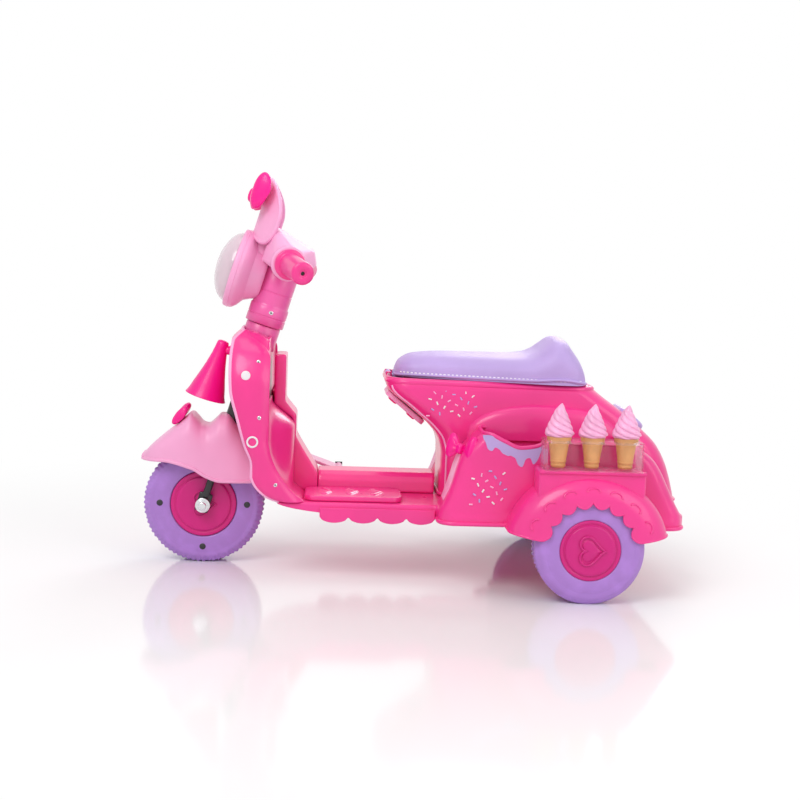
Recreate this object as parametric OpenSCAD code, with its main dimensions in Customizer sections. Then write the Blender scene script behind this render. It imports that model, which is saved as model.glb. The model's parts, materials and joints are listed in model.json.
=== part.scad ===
// Child's three-wheeled electric scooter with an ice-cream theme.
// Front of the vehicle is -X, rider's left is -Y, up is +Z. The origin is on the floor, midway along the vehicle.

/* [Overall] */
// Distance between the front axle and the rear axle
wheelbase = 581; // [560:1:610]
// Place of the front axle ahead of the origin
front_axle_x = -326; // [-336:1:-316]
// Lean of the steering axis from upright, in degrees
rake = 17; // [15:0.5:19]

/* [Front wheel] */
// Radius of the front tyre
front_r = 95; // [88:1:97]
// Width of the front tyre
front_w = 60; // [50:1:64]
// Radius of the front hub disc
front_hub_r = 52; // [44:1:58]

/* [Rear wheels] */
// Radius of the rear tyres
rear_r = 81; // [74:1:84]
// Width of the rear tyres
rear_w = 52; // [44:1:54]
// Radius of the rear hub caps
rear_hub_r = 45; // [38:1:50]
// Distance from the middle plane to the middle of a rear tyre
half_track = 222; // [218:1:230]
// Radius of both axles
axle_r = 5; // [4:0.5:6]

/* [Body] */
// Wall of the moulded shells
wall = 4; // [3:0.25:5]
// Height of the floor pan's top above the ground
floor_z = 122; // [118:1:126]
// Half width of the foot floor
floor_half_w = 140; // [130:1:150]
// Half width of the leg shield
shield_half_w = 150; // [142:1:156]
// Height of the leg shield's top above the ground
shield_top_z = 376; // [366:1:380]
// Half width of the seat pod
pod_half_w = 88; // [80:1:89]
// Height of the seat pod's rim above the ground
pod_top_z = 303; // [298:1:306]

/* [Seat] */
// Thickness of the seat at its lowest crown
seat_crown = 38; // [30:1:44]

/* [Side tubs] */
// Width of one side tub
tub_w = 92; // [80:1:93]
// Height of a side tub's rim above the ground
tub_top_z = 236; // [226:1:244]
// Pitch of the cones along the rack
cone_pitch = 49.5; // [46:0.5:52]
// Largest radius of a cone's wafer
wafer_r = 17.2; // [15:0.1:18]
// Number of cones in each rack
cone_count = 3; // [1:1:3]

/* [Handlebar] */
// Radius of a hand grip
grip_r = 17.5; // [15:0.5:19]
// Length of a hand grip
grip_len = 95; // [80:1:105]
// Radius of the headlight's rim
lamp_r = 60; // [54:1:62]

/* [Hidden] */

// General fits
eps = 0.5;
run_clear = 0.05;
part_gap = 0.4;
shell_gap = 1.5;
round_fn = 64;

// Colours
body_pink = "#f03c96";
pale_pink = "#f4a6d2";
hub_pink = "#c81978";
bow_pink = "#fa0a8c";
tyre_lilac = "#a676c0";
seat_lilac = "#c3a5e1";
wafer_tan = "#d9a069";
steel_black = "#1c1c1e";
chrome = "#c9ccd0";

rear_axle_x = front_axle_x + wheelbase;

// Smooth step from 0 to 1
function ease(t) = let (s = max(0, min(1, t))) s * s * (3 - 2 * s);
// Value at t of a table of [t, value] pairs, in straight steps
function at(table, t) = lookup(t, table);
// Place of the steering axis at a height
function axis_x(z) = front_axle_x + (z - front_r) * tan(rake);

// Closed loft through rings of equal length; each end is capped flat
module loft(rings) {
  n = len(rings[0]);
  m = len(rings);
  points = [for (ring = rings) each ring];
  sides = [for (i = [0:m - 2], j = [0:n - 1]) let (a = i * n + j, b = i * n + (j + 1) % n)
    each [[a, b, a + n], [b, b + n, a + n]]];
  first_cap = [[for (j = [n - 1:-1:0]) j]];
  last_cap = [[for (j = [0:n - 1]) (m - 1) * n + j]];
  polyhedron(points = points, faces = concat(sides, first_cap, last_cap));
}

// Closed sleeve through rings of equal length; the last ring joins the first
module sleeve(rings) {
  n = len(rings[0]);
  m = len(rings);
  points = [for (ring = rings) each ring];
  sides = [for (i = [0:m - 1], j = [0:n - 1])
    let (a = i * n + j, b = i * n + (j + 1) % n, c = ((i + 1) % m) * n + j, d = ((i + 1) % m) * n + (j + 1) % n)
    each [[a, b, c], [b, d, c]]];
  polyhedron(points = points, faces = sides);
}

// Thick sheet between two grids of points, each grid [row][column]
module sheet(outer, inner) {
  m = len(outer);
  n = len(outer[0]);
  points = concat([for (row = outer) each row], [for (row = inner) each row]);
  k = m * n;
  top = [for (i = [0:m - 2], j = [0:n - 2]) let (a = i * n + j) each [[a, a + 1, a + n], [a + 1, a + n + 1, a + n]]];
  under = [for (f = top) [f[0] + k, f[2] + k, f[1] + k]];
  loop = concat([for (j = [0:n - 1]) j], [for (i = [1:m - 1]) i * n + n - 1],
    [for (j = [n - 2:-1:0]) (m - 1) * n + j], [for (i = [m - 2:-1:1]) i * n]);
  rim = [for (i = [0:len(loop) - 1]) let (a = loop[i], b = loop[(i + 1) % len(loop)])
    each [[a, a + k, b], [b, a + k, b + k]]];
  polyhedron(points = points, faces = concat(top, under, rim));
}

// Rounded rectangle ring seen from above, at height z, corners turned by quarter circles
function plan_ring(x0, x1, y0, y1, r, z, steps = 5) = [for (c = [0:3], s = [0:steps - 1])
  let (a = 180 + c * 90 + s * 90 / (steps - 1), cx = (c == 0 || c == 3) ? x0 + r : x1 - r,
    cy = (c < 2) ? y0 + r : y1 - r) [cx + r * cos(a), cy + r * sin(a), z]];

// Local frame of the steering axis, with the front axle at its origin
module on_steering() {
  translate([front_axle_x, 0, front_r]) rotate([0, rake, 0]) children();
}

// Copies on the left and on the right
module both_sides() {
  children();
  mirror([0, 1, 0]) children();
}

// Cylinder along Y centred on the middle plane
module across(r, length) {
  rotate([90, 0, 0]) cylinder(r = r, h = length, center = true, $fn = round_fn);
}

// Wheels
lug_count = 44;
lug_rise = 3;
lug_band = 10;
lug_inset = 6;
tyre_step = 2;
hub_sink = 8;
hub_rise = 3;
hub_clear = 0.5;
plug_r = 5;
plug_rise = 1.5;
plug_count = 4;
front_plug_ring = 69;
heart_r_share = 0.42;
// Half outline of the heart, from its point to its notch
heart_shares = [[1, 0], [0.62, 0.42], [0.22, 0.78], [-0.16, 0.98], [-0.5, 1], [-0.8, 0.82], [-0.9, 0.52],
  [-0.8, 0.22], [-0.55, 0]];
ring_share = 0.76;
ring_w = 4;

// Toothed ring for a tread shoulder, two points to a tooth edge
module tread_ring(r) {
  linear_extrude(height = lug_band)
    difference() {
      polygon([for (i = [0:lug_count * 4 - 1]) let (a = i * 90 / lug_count, k = (i % 4 < 2) ? r : r - lug_rise)
        [k * cos(a), k * sin(a)]]);
      circle(r = r - 2 * lug_rise, $fn = round_fn);
    }
}

// Blow-moulded tyre turned about Z, with a recess on each face for a hub disc
module tyre(r, w, hub_r) {
  h = w / 2;
  bore = axle_r + run_clear;
  seat = hub_r + part_gap;
  half = [[bore, h - hub_sink], [seat, h - hub_sink], [seat, h - tyre_step], [seat + tyre_step, h],
    [r - 3 * lug_inset / 2, h], [r - lug_inset, h - lug_inset / 2], [r - lug_rise, h - lug_inset]];
  rotate_extrude($fn = round_fn)
    polygon(concat(half, [for (i = [len(half) - 1:-1:0]) [half[i][0], -half[i][1]]]));
  for (side = [-1, 1])
    translate([0, 0, side * (h - lug_inset - lug_band / 2) - lug_band / 2]) tread_ring(r);
}

// Raised heart, point along +X
module heart(size, height) {
  last = len(heart_shares) - 1;
  half = [for (p = heart_shares) p * size];
  linear_extrude(height = height)
    polygon(concat(half, [for (i = [last - 1:-1:1]) [half[i][0], -half[i][1]]]));
}

// Hub disc with a raised ring, a raised middle and a heart on it, its seat at z = 0
module hub_disc(hub_r, heart_top) {
  top = hub_sink + hub_rise;
  middle = hub_sink + hub_rise / 2;
  ring_r = hub_r * ring_share;
  rotate_extrude($fn = round_fn)
    polygon([[0, 0], [hub_r, 0], [hub_r, hub_sink - tyre_step], [hub_r - tyre_step, hub_sink],
      [ring_r + ring_w, hub_sink], [ring_r + ring_w / 2, top], [ring_r - ring_w / 2, top],
      [ring_r - ring_w, hub_sink], [ring_r - ring_w - tyre_step, middle], [0, middle]]);
  translate([0, 0, hub_sink]) heart(hub_r * heart_r_share, heart_top - hub_sink);
}

module at_front_wheel() {
  translate([front_axle_x, 0, front_r]) rotate([90, 0, 0]) children();
}

module front_tyre() {
  color(tyre_lilac) at_front_wheel() tyre(front_r, front_w, front_hub_r);
}

module front_hubs() {
  color(hub_pink) both_sides() at_front_wheel()
    translate([0, 0, front_w / 2 - hub_sink]) difference() {
      hub_disc(front_hub_r, hub_sink + hub_rise);
      translate([0, 0, -eps]) cylinder(r = axle_r + hub_clear, h = 2 * hub_sink, $fn = round_fn);
    }
}

module front_plugs() {
  color(steel_black) both_sides() at_front_wheel()
    for (i = [0:plug_count - 1])
      rotate(i * 360 / plug_count) translate([front_plug_ring, 0, front_w / 2])
        cylinder(r = plug_r, h = plug_rise, $fn = round_fn / 2);
}

// A rear wheel's frame, with its outer face towards +Z
module at_rear_wheel(side) {
  translate([rear_axle_x, side * half_track, rear_r]) rotate([side < 0 ? 90 : -90, 0, 0]) children();
}

module rear_tyre(side) {
  color(tyre_lilac) at_rear_wheel(side) tyre(rear_r, rear_w, rear_hub_r);
}

// The cap closes over the axle's end, so its middle has a pocket and no through hole
cap_dome = 5;
module rear_hubcap(side) {
  pocket = axle_end - (half_track + rear_w / 2 - hub_sink) + shell_gap;
  color(hub_pink) at_rear_wheel(side) translate([0, 0, rear_w / 2 - hub_sink])
    difference() {
      hub_disc(rear_hub_r, hub_sink + cap_dome);
      translate([0, 0, -eps]) cylinder(r = axle_r + 2 * hub_clear, h = pocket + eps, $fn = round_fn);
    }
}
axle_end = half_track + rear_w / 2 - hub_sink + hub_rise;

module rear_left_tyre() { rear_tyre(-1); }
module rear_left_hubcap() { rear_hubcap(-1); }
module rear_right_tyre() { rear_tyre(1); }
module rear_right_hubcap() { rear_hubcap(1); }

module rear_axle() {
  color(chrome) translate([rear_axle_x, 0, rear_r]) across(axle_r, 2 * axle_end);
}

// Fork and front axle
steerer_r = 12;
steerer_top = 420;
leg_r = 6;
leg_y = 40.5;
crown_u = 100;
crown_h = 10;
crown_d = 20;
tab_t = 5;
tab_w = 22;
tab_up = 20;
nut_r = 9;
nut_h = 8;
leg_low = 14;

module fork() {
  color(steel_black) on_steering() difference() {
    union() {
      translate([-crown_d / 2, -leg_y - leg_r, crown_u]) cube([crown_d, 2 * (leg_y + leg_r), crown_h]);
      translate([0, 0, crown_u + crown_h / 2])
        cylinder(r = steerer_r, h = steerer_top - crown_u - crown_h / 2, $fn = round_fn);
      for (side = [-1, 1]) translate([0, side * leg_y, 0]) {
        translate([0, 0, leg_low]) cylinder(r = leg_r, h = crown_u - leg_low + crown_h / 2, $fn = round_fn);
        translate([-tab_w / 2, -tab_t / 2, -tab_w / 2]) cube([tab_w, tab_t, tab_w / 2 + tab_up]);
      }
    }
    across(axle_r + run_clear, 3 * leg_y);
  }
}

module front_axle() {
  color(chrome) translate([front_axle_x, 0, front_r]) across(axle_r, 2 * (leg_y + tab_t / 2 + nut_h + tyre_step));
}

module axle_nuts() {
  color(chrome) both_sides() translate([front_axle_x, -leg_y - tab_t / 2, front_r]) rotate([90, 0, 0])
    difference() {
      cylinder(r = nut_r, h = nut_h, $fn = 6);
      translate([0, 0, -eps]) cylinder(r = axle_r + run_clear, h = nut_h + 2 * eps, $fn = round_fn);
    }
}

// Front fender: an arched sheet over the wheel, with a saddle in its top and a lip along its lower edge
fender_len = 175;
fender_front_x = -424;
fender_rise = 104;
fender_low_z = 136;
fender_half_w = 55;
fender_t = 3;
fender_square_share = 0.55;
fender_cols = 15;
fender_rows = 24;
fender_top_shares = [[0, 0.34], [0.05, 0.44], [0.15, 0.6], [0.29, 0.8], [0.38, 0.94], [0.43, 1], [0.48, 0.93], [0.53, 0.84],
  [0.58, 0.82], [0.64, 0.9], [0.7, 0.99], [0.75, 0.99], [0.85, 0.8], [0.93, 0.64], [1, 0.5]];
fender_edge_shares = [[0, 0.28], [0.19, 0.29], [0.46, 0.19], [0.6, 0.06], [0.73, 0], [1, 0]];
fender_width_shares = [[0, 0.42], [0.08, 0.72], [0.2, 0.9], [0.43, 1], [0.85, 1], [1, 0.92]];

function fender_point(t, a, inset) = let (x = fender_front_x + t * fender_len + (0.5 - t) * 2 * inset,
    w = at(fender_width_shares, t) * fender_half_w - inset, low = fender_low_z + at(fender_edge_shares, t) * fender_rise,
    top = fender_low_z + at(fender_top_shares, t) * fender_rise - inset)
  [x, w * sign(sin(a)) * pow(abs(sin(a)), fender_square_share), low + (top - low) * pow(abs(cos(a)), fender_square_share)];

function fender_grid(inset) = [for (i = [0:fender_rows]) [for (j = [0:fender_cols - 1])
  fender_point(i / fender_rows, -90 + 180 * j / (fender_cols - 1), inset)]];

module front_fender() {
  color(pale_pink) difference() {
    sheet(fender_grid(0), fender_grid(fender_t));
    on_steering() cylinder(r = steerer_r + part_gap, h = steerer_top, $fn = round_fn);
  }
}

// Bow: two flared loops either side of a knot, lying across Y with its back towards +X
bow_cols = 12;
bow_shares = [[0, 0.34], [0.1, 0.32], [0.2, 0.24], [0.5, 0.7], [0.8, 1], [0.94, 0.92], [1, 0.6]];
bow_flat_shares = [[0, 1], [0.1, 0.96], [0.2, 0.62], [0.5, 0.8], [0.8, 0.92], [0.94, 0.72], [1, 0.3]];

module bow(half_len, half_h, depth) {
  steps = [for (s = bow_shares) s[0]];
  ys = concat([for (i = [len(steps) - 1:-1:1]) -steps[i]], steps);
  loft([for (y = ys) [for (j = [0:bow_cols - 1]) let (a = 360 * j / bow_cols, k = at(bow_shares, abs(y)),
    d = at(bow_flat_shares, abs(y))) [-depth * d * (1 + cos(a)) / 2, y * half_len, half_h * k * sin(a)]]]);
}

fender_bow_x = -349;
fender_bow_half = 34;
fender_bow_h = 19;
fender_bow_d = 15;
fender_bow_sink = 1.9;
module fender_bow() {
  top = fender_low_z + fender_rise;
  color(bow_pink) translate([fender_bow_x, 0, top - fender_bow_sink]) rotate([0, 90, 0])
    bow(fender_bow_half, fender_bow_h, fender_bow_d);
}

// Steering column and handlebar, placed along the steering axis from the front axle
cover_low = 300;
cover_top = 394;
cover_r = 29;
collar_r = 31;
collar_h = 22;
cover_base = 8;
cover_bore = 24;

module column_cover() {
  color(pale_pink) on_steering() rotate_extrude($fn = round_fn)
    polygon([[steerer_r + run_clear, cover_low], [collar_r, cover_low], [collar_r, cover_low + collar_h],
      [cover_r, cover_low + collar_h + tyre_step], [cover_r, cover_top], [cover_bore, cover_top],
      [cover_bore, cover_low + cover_base], [steerer_r + run_clear, cover_low + cover_base]]);
}

bar_r = 9;
bar_u = 407;
bar_half = 58;
clamp_r = 17;
clamp_h = 22;
bar_sweep_shares = [0.273, -0.9607, -0.0505];
grip_start = 38;
grip_wall = 6;
grip_hole_r = 3;
flange_r = 23.5;
flange_len = 8;

// Frame of the left bar end, with +Z running outwards along it
module on_bar_end() {
  d = bar_sweep_shares;
  translate([0, -bar_half, bar_u]) rotate([0, acos(d[2] / norm(d)), atan2(d[1], d[0])]) children();
}

module handlebar() {
  color(steel_black) on_steering() difference() {
    union() {
      translate([0, 0, bar_u]) across(bar_r, 2 * bar_half);
      translate([0, 0, bar_u - clamp_h / 2]) cylinder(r = clamp_r, h = clamp_h, $fn = round_fn);
      both_sides() on_bar_end() {
        sphere(r = bar_r, $fn = round_fn);
        cylinder(r = bar_r, h = grip_start + grip_len - grip_wall, $fn = round_fn);
      }
    }
    cylinder(r = steerer_r + run_clear, h = 2 * steerer_top, $fn = round_fn);
  }
}

module grip_one() {
  on_bar_end() translate([0, 0, grip_start]) rotate_extrude($fn = round_fn)
    polygon([[bar_r + run_clear, 0], [flange_r, 0], [flange_r, flange_len], [grip_r, flange_len + tyre_step],
      [grip_r, grip_len - tyre_step], [grip_r - tyre_step, grip_len], [grip_hole_r, grip_len],
      [grip_hole_r, grip_len - grip_wall + part_gap], [bar_r + run_clear, grip_len - grip_wall + part_gap]]);
}

module grip_left() { color(body_pink) on_steering() grip_one(); }
module grip_right() { color(body_pink) on_steering() mirror([0, 1, 0]) grip_one(); }

// Headset cover: a moulded hood over the middle of the handlebar, sloping down to the rider
hood_half = 45;
hood_end_y = 86;
hood_end_r = 22;
hood_end_x = 8;
hood_low = 396;
hood_front = -34;
hood_back = 50;
hood_peak = 454;
hood_dash = 436;
hood_lip = 414;
hood_fn = 32;

module hood(inset) {
  hull() {
    rotate([90, 0, 0]) linear_extrude(height = 2 * (hood_half - inset), center = true)
      polygon([[hood_front + inset, hood_low + inset], [hood_front + inset, hood_peak - inset],
        [hood_back - hood_half / 4 - inset, hood_dash - inset], [hood_back - inset, hood_lip],
        [hood_back / 2, hood_low + inset]]);
    both_sides() translate([hood_end_x, -hood_end_y + inset, bar_u]) rotate([90, 0, 0])
      cylinder(r = hood_end_r - inset, h = eps, $fn = hood_fn);
  }
}

module headset_cover() {
  color(pale_pink) on_steering() difference() {
    hood(0);
    hood(wall);
    cylinder(r = cover_r + part_gap, h = bar_u, $fn = round_fn);
    both_sides() on_bar_end() cylinder(r = bar_r + part_gap, h = grip_start, $fn = round_fn);
  }
}

// Headlight, square to the steering axis
lamp_u = 371;
lamp_front = -70;
lamp_depth = 32;
lamp_back_r = 38;
lens_r = 54;
lens_depth = 25;
lens_seat = 6;
lamp_boss_r = 12;

module on_lamp() {
  translate([lamp_front, 0, lamp_u]) rotate([0, -90, 0]) children();
}

module headlight_housing() {
  color(pale_pink) on_steering() difference() {
    on_lamp() {
      rotate_extrude($fn = round_fn)
        polygon([[0, -lamp_depth], [lamp_back_r, -lamp_depth], [lamp_r, -lamp_depth / 3], [lamp_r, 0],
          [lamp_r - tyre_step, tyre_step], [lens_r + part_gap, tyre_step], [lens_r + part_gap, -lens_seat],
          [lens_r - lens_seat, -lens_seat], [lamp_back_r - wall, wall - lamp_depth], [0, wall - lamp_depth]]);
      translate([0, 0, lamp_front]) cylinder(r = lamp_boss_r, h = -lamp_front - lamp_depth + wall / 2, $fn = round_fn);
    }
    cylinder(r = cover_r + part_gap, h = 2 * steerer_top, $fn = round_fn);
  }
}

// Dome as a slice of a sphere, hollowed to one wall
module headlight_lens() {
  ball = (lens_r * lens_r + lens_depth * lens_depth) / (2 * lens_depth);
  color("#d7cdd4") on_steering() on_lamp() {
    difference() {
      translate([0, 0, lens_depth - ball]) sphere(r = ball, $fn = round_fn);
      translate([0, 0, lens_depth - ball]) sphere(r = ball - wall / 2, $fn = round_fn);
      translate([0, 0, -2 * ball]) cylinder(r = 2 * ball, h = 2 * ball, $fn = round_fn);
    }
    translate([0, 0, -lens_seat + part_gap]) difference() {
      cylinder(r = lens_r, h = lens_seat, $fn = round_fn);
      translate([0, 0, -eps]) cylinder(r = lens_r - wall, h = lens_seat + 2 * eps, $fn = round_fn);
    }
  }
}

// Fly screen: a rounded plate that curves back at its sides, standing on the headlight
screen_half = 60;
screen_front = -62;
screen_back = 32;
screen_h = 88;
screen_t = 4;
screen_top_drop = 46;
screen_low_rise = 16;
screen_cols = 13;
screen_rows = 5;

function screen_grid(shift) = [for (i = [0:screen_rows]) [for (j = [0:screen_cols - 1])
  let (k = 2 * j / (screen_cols - 1) - 1, low = lamp_u + lamp_r + part_gap + screen_low_rise * k * k,
    top = lamp_u + lamp_r + screen_h - screen_top_drop * k * k)
  [screen_front + screen_back * k * k + shift, screen_half * k, low + (top - low) * i / screen_rows]]];

module fly_screen() {
  color(pale_pink) on_steering() sheet(screen_grid(screen_t), screen_grid(0));
}

head_bow_share = 0.66;
head_bow_u = lamp_u + lamp_r + screen_h * head_bow_share;
head_bow_half = 58;
head_bow_h = 36;
head_bow_d = 24;
module headlight_bow() {
  color(bow_pink) on_steering() translate([screen_front - part_gap, 0, head_bow_u])
    bow(head_bow_half, head_bow_h, head_bow_d);
}

// Leg shield
middle_half_w = 38;
shield_low_z = 122.4;
shield_h = shield_top_z - shield_low_z;
shield_cols = 25;
shield_rows = 17;
shield_bulge = 6;
well_r = 88;
well_top_z = 222;
well_fade = 40;
wheel_sweep = 103;
shield_x0 = -233;
shield_reach = 55;
shield_front_shares = [[0, 0], [0.03, 0.11], [0.09, 0.25], [0.22, 0.22], [0.34, 0.44], [0.5, 0.66], [0.67, 0.86],
  [0.82, 0.89], [0.94, 0.86], [1, 0.6]];
shield_width_shares = [[0, 0.92], [0.15, 0.97], [0.3, 1], [0.7, 0.97], [0.86, 0.86], [0.95, 0.7], [1, 0.55]];

function well_radius(z) = well_r * (1 - ease((z - well_top_z) / well_fade));
// Rear wall of the well that the front wheel and its fender turn in; far ahead where there is no well
far_ahead = shield_x0 - 2 * shield_reach;
function behind(x, square) = square > 0 ? x + sqrt(square) : far_ahead;
function well_x(y, z) = max(behind(axis_x(z), pow(well_radius(z), 2) - y * y),
  behind(front_axle_x, wheel_sweep * wheel_sweep - pow(z - front_r, 2) - y * y));
function shield_x(y, z, w) = max(well_x(y, z), shield_x0 - shield_bulge * (1 - pow(y / w, 2))
  - shield_reach * at(shield_front_shares, (z - shield_low_z) / shield_h));
function shield_z(i) = shield_low_z + shield_h * i / shield_rows;
function shield_w(z) = shield_half_w * at(shield_width_shares, (z - shield_low_z) / shield_h);
function shield_grid(shift) = [for (i = [0:shield_rows]) [for (j = [0:shield_cols - 1])
  let (z = shield_z(i), w = shield_w(z), y = w * (2 * j / (shield_cols - 1) - 1))
  [shield_x(y, z, w) + shift, y, z]]];

module leg_shield() {
  color(body_pink) difference() {
    sheet(shield_grid(wall), shield_grid(0));
    on_steering() cylinder(r = head_r + part_gap, h = steerer_top, $fn = round_fn);
  }
}

// Liner on the rider's side
liner_x = -228;
liner_t = 3;
liner_edge = 6;
head_r = 16;
head_low = 215;
liner_gap = 0.7;

function liner_base(y, z, w) = max(liner_x, shield_x(y, z, w) + wall + shell_gap,
  abs(y) < head_r + liner_gap ? axis_x(z) + sqrt(pow(head_r + 2 * liner_gap, 2) - y * y) : liner_x);
function liner_grid(shift) = [for (i = [0:shield_rows]) [for (j = [0:shield_cols - 1])
  let (z = shield_z(i), w = shield_w(z), y = (w - liner_edge) * (2 * j / (shield_cols - 1) - 1))
  [liner_base(y, z, w) + shift, y, z]]];

module leg_shield_liner() {
  color(pale_pink) sheet(liner_grid(liner_t), liner_grid(0));
}

// Flanks that close the leg shield's sides, and toe panels that sweep from the liner down to the floor
toe_top_z = 214;
toe_back_x = -169;
toe_t = 3;
toe_y1 = 131;
toe_rows = 10;
toe_cols = 10;
flank_t = 4;
flank_rows = 18;
flank_cols = 4;
// Height and reach of the sweep
toe_shares = [[0, 1], [0.08, 0.9], [0.22, 0.72], [0.52, 0.4], [0.75, 0.22], [0.89, 0.12], [1, 0]];
toe_x0 = liner_x + liner_t + part_gap;
toe_h = toe_top_z - shield_low_z;

function toe_curve(z) = toe_x0 + (toe_back_x - toe_x0) * at(toe_shares, (z - shield_low_z) / toe_h);
function toe_grid(shift) = [for (i = [0:toe_rows]) [for (j = [0:toe_cols])
  let (z = shield_low_z + toe_h * i / toe_rows, y = middle_half_w + part_gap + (toe_y1 - middle_half_w) * j / toe_cols)
  [max(toe_curve(z), liner_base(y, z, shield_w(z)) + liner_t + 4 * part_gap) + shift, -y, z]]];
function flank_back(z) = z < toe_top_z ? toe_curve(z) + toe_t : toe_x0;
function flank_grid(depth) = [for (i = [0:flank_rows]) [for (j = [0:flank_cols])
  let (z = shield_low_z + (shield_h - wall) * i / flank_rows, w = shield_w(z), x0 = shield_x(w, z, w) + wall + 2 * part_gap)
  [x0 + (flank_back(z) - x0) * j / flank_cols, part_gap + depth - w, z]]];

module shield_flanks() {
  color(body_pink) both_sides() {
    sheet(toe_grid(toe_t), toe_grid(0));
    sheet(flank_grid(flank_t), flank_grid(0));
  }
}

module head_tube() {
  color(steel_black) on_steering() translate([0, 0, head_low]) difference() {
    cylinder(r = head_r, h = cover_low - part_gap - head_low, $fn = round_fn);
    translate([0, 0, -eps]) cylinder(r = steerer_r + run_clear, h = cover_low, $fn = round_fn);
  }
}

// Spine cover and tunnel along the middle of the foot floor
seat_z = floor_z + part_gap;
spine_x = -218;
spine_depth = 72;
spine_h = 215;
spine_shares = [[0, 1], [0.25, 1], [0.25, 0.66], [0.5, 0.56], [0.5, 0.4], [0.64, 0.32], [1, 0.13], [1, 0], [0.41, 0],
  [0.41, 0.53], [0, 0.63]];

module spine_cover() {
  color(body_pink) translate([spine_x, 0, seat_z]) rotate([90, 0, 0])
    linear_extrude(height = 2 * middle_half_w, center = true)
      polygon([for (p = spine_shares) [p[0] * spine_depth, p[1] * spine_h]]);
}

tunnel_end_x = 40;
tunnel_h = 31;
tunnel_shares = [[-1, 0], [1, 0], [0.94, 0.55], [0.82, 0.82], [0.6, 1], [-0.6, 1], [-0.82, 0.82], [-0.94, 0.55]];

module tunnel_cover() {
  start = spine_x + spine_depth + part_gap;
  color(body_pink) translate([start, 0, seat_z]) rotate([90, 0, 90])
    linear_extrude(height = tunnel_end_x - start)
      polygon([for (p = tunnel_shares) [p[0] * middle_half_w, p[1] * tunnel_h]]);
}

// Floor pan: foot floor in front, wider deck under the seat and the tubs behind
pan_t = 14;
pan_rim = 8;
pan_front_x = -236;
pan_step_x = 62;
deck_front_x = 38;
deck_back_x = 412;
tub_gap = 4;
deck_half_w = pod_half_w + tub_gap + tub_w;
pan_corner = 34;
pan_lip = 4;
pan_chin = 78;

module plan_block(x0, x1, half_w, r) {
  polygon([for (p = plan_ring(x0, x1, -half_w, half_w, r, 0, 9)) [p[0], p[1]]]);
}

module pan_plan(inset) {
  plan_block(pan_front_x + inset, pan_step_x, floor_half_w - inset, pan_corner - inset);
  plan_block(deck_front_x + inset, deck_back_x - inset, deck_half_w - inset, pan_corner - inset);
}

module floor_pan() {
  low = floor_z - pan_t;
  color(body_pink) difference() {
    translate([0, 0, low - pan_rim]) linear_extrude(height = pan_t + pan_rim) pan_plan(0);
    translate([0, 0, low - pan_rim - eps]) linear_extrude(height = pan_rim + eps) pan_plan(wall);
    translate([front_axle_x, 0, 0]) cylinder(r = wheel_sweep + shell_gap, h = 2 * floor_z, $fn = round_fn);
    // The underside rises towards the front
    translate([pan_front_x, -2 * floor_half_w, floor_z - pan_lip]) rotate([0, atan2(pan_t + pan_rim, pan_chin), 0])
      translate([-pan_chin, 0, -pan_chin]) cube([3 * pan_chin, 4 * floor_half_w, pan_chin]);
  }
}

pad_x0 = -165;
pad_x1 = -15;
pad_y0 = 44;
pad_y1 = 130;
pad_t = 8;
pad_corner = 18;
chevron_count = 3;
chevron_arm = 24;
chevron_w = 8;
chevron_rise = 2.5;

module chevron() {
  linear_extrude(height = chevron_rise + eps)
    polygon([[0, -chevron_arm], [chevron_w, -chevron_arm], [chevron_arm / 2 + chevron_w, 0], [chevron_w, chevron_arm],
      [0, chevron_arm], [chevron_arm / 2, 0]]);
}

module foot_pads() {
  pitch = (pad_x1 - pad_x0) / (chevron_count + 1);
  color(body_pink) both_sides() translate([0, 0, seat_z]) difference() {
    union() {
      linear_extrude(height = pad_t)
        polygon([for (p = plan_ring(pad_x0, pad_x1, -pad_y1, -pad_y0, pad_corner, 0, 7)) [p[0], p[1]]]);
      for (i = [1:chevron_count])
        translate([pad_x0 + i * pitch - chevron_arm / 2, -(pad_y0 + pad_y1) / 2, pad_t - eps]) chevron();
    }
    // Flat seat for the pedal's mount
    translate([pedal_x - mount_half_x, -mount_y1, pad_t])
      cube([2 * mount_half_x, mount_y1 - mount_y0, 2 * chevron_rise]);
  }
}

skirt_x0 = -141;
skirt_pitch = 44;
skirt_count = 4;
skirt_t = 3;
skirt_low_z = 92;
skirt_drop = 9;
skirt_steps = 40;

module scallop_skirts() {
  top = floor_z - pan_t / 2;
  length = skirt_pitch * skirt_count;
  color(body_pink) both_sides() translate([skirt_x0, -floor_half_w - part_gap, 0]) rotate([90, 0, 0])
    linear_extrude(height = skirt_t)
      polygon(concat([[length, top], [0, top]], [for (i = [0:skirt_steps]) let (s = i / skirt_steps)
        [s * length, skirt_low_z + skirt_drop * (1 - sqrt(abs(sin(180 * skirt_count * s))))]]));
}

// Horn-shaped ornament on the front of the leg shield
horn_x = -329;
horn_z = 263;
horn_h = 95;
horn_r = 33;
horn_neck_r = 9;
horn_wall = 3;
horn_lip = 5;
stalk_r = 7;
stalk_z = 338;

module horn_cone() {
  stalk_x0 = horn_x + (stalk_z - horn_z) * tan(rake);
  stalk_x1 = shield_x(0, stalk_z, shield_w(stalk_z)) - part_gap;
  color(bow_pink) {
    translate([horn_x, 0, horn_z]) rotate([0, rake, 0]) rotate_extrude($fn = round_fn)
      polygon([[0, horn_h], [horn_neck_r, horn_h - horn_wall], [horn_neck_r + horn_wall, horn_h * ring_share],
        [horn_r - horn_lip, horn_lip * 2], [horn_r, 0], [horn_r - horn_wall, 0],
        [horn_r - horn_lip - horn_wall, horn_lip * 2], [horn_neck_r, horn_h * ring_share - horn_wall],
        [0, horn_h * ring_share]]);
    translate([stalk_x0, 0, stalk_z]) rotate([0, 90, 0]) cylinder(r = stalk_r, h = stalk_x1 - stalk_x0, $fn = round_fn);
  }
}

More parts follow.
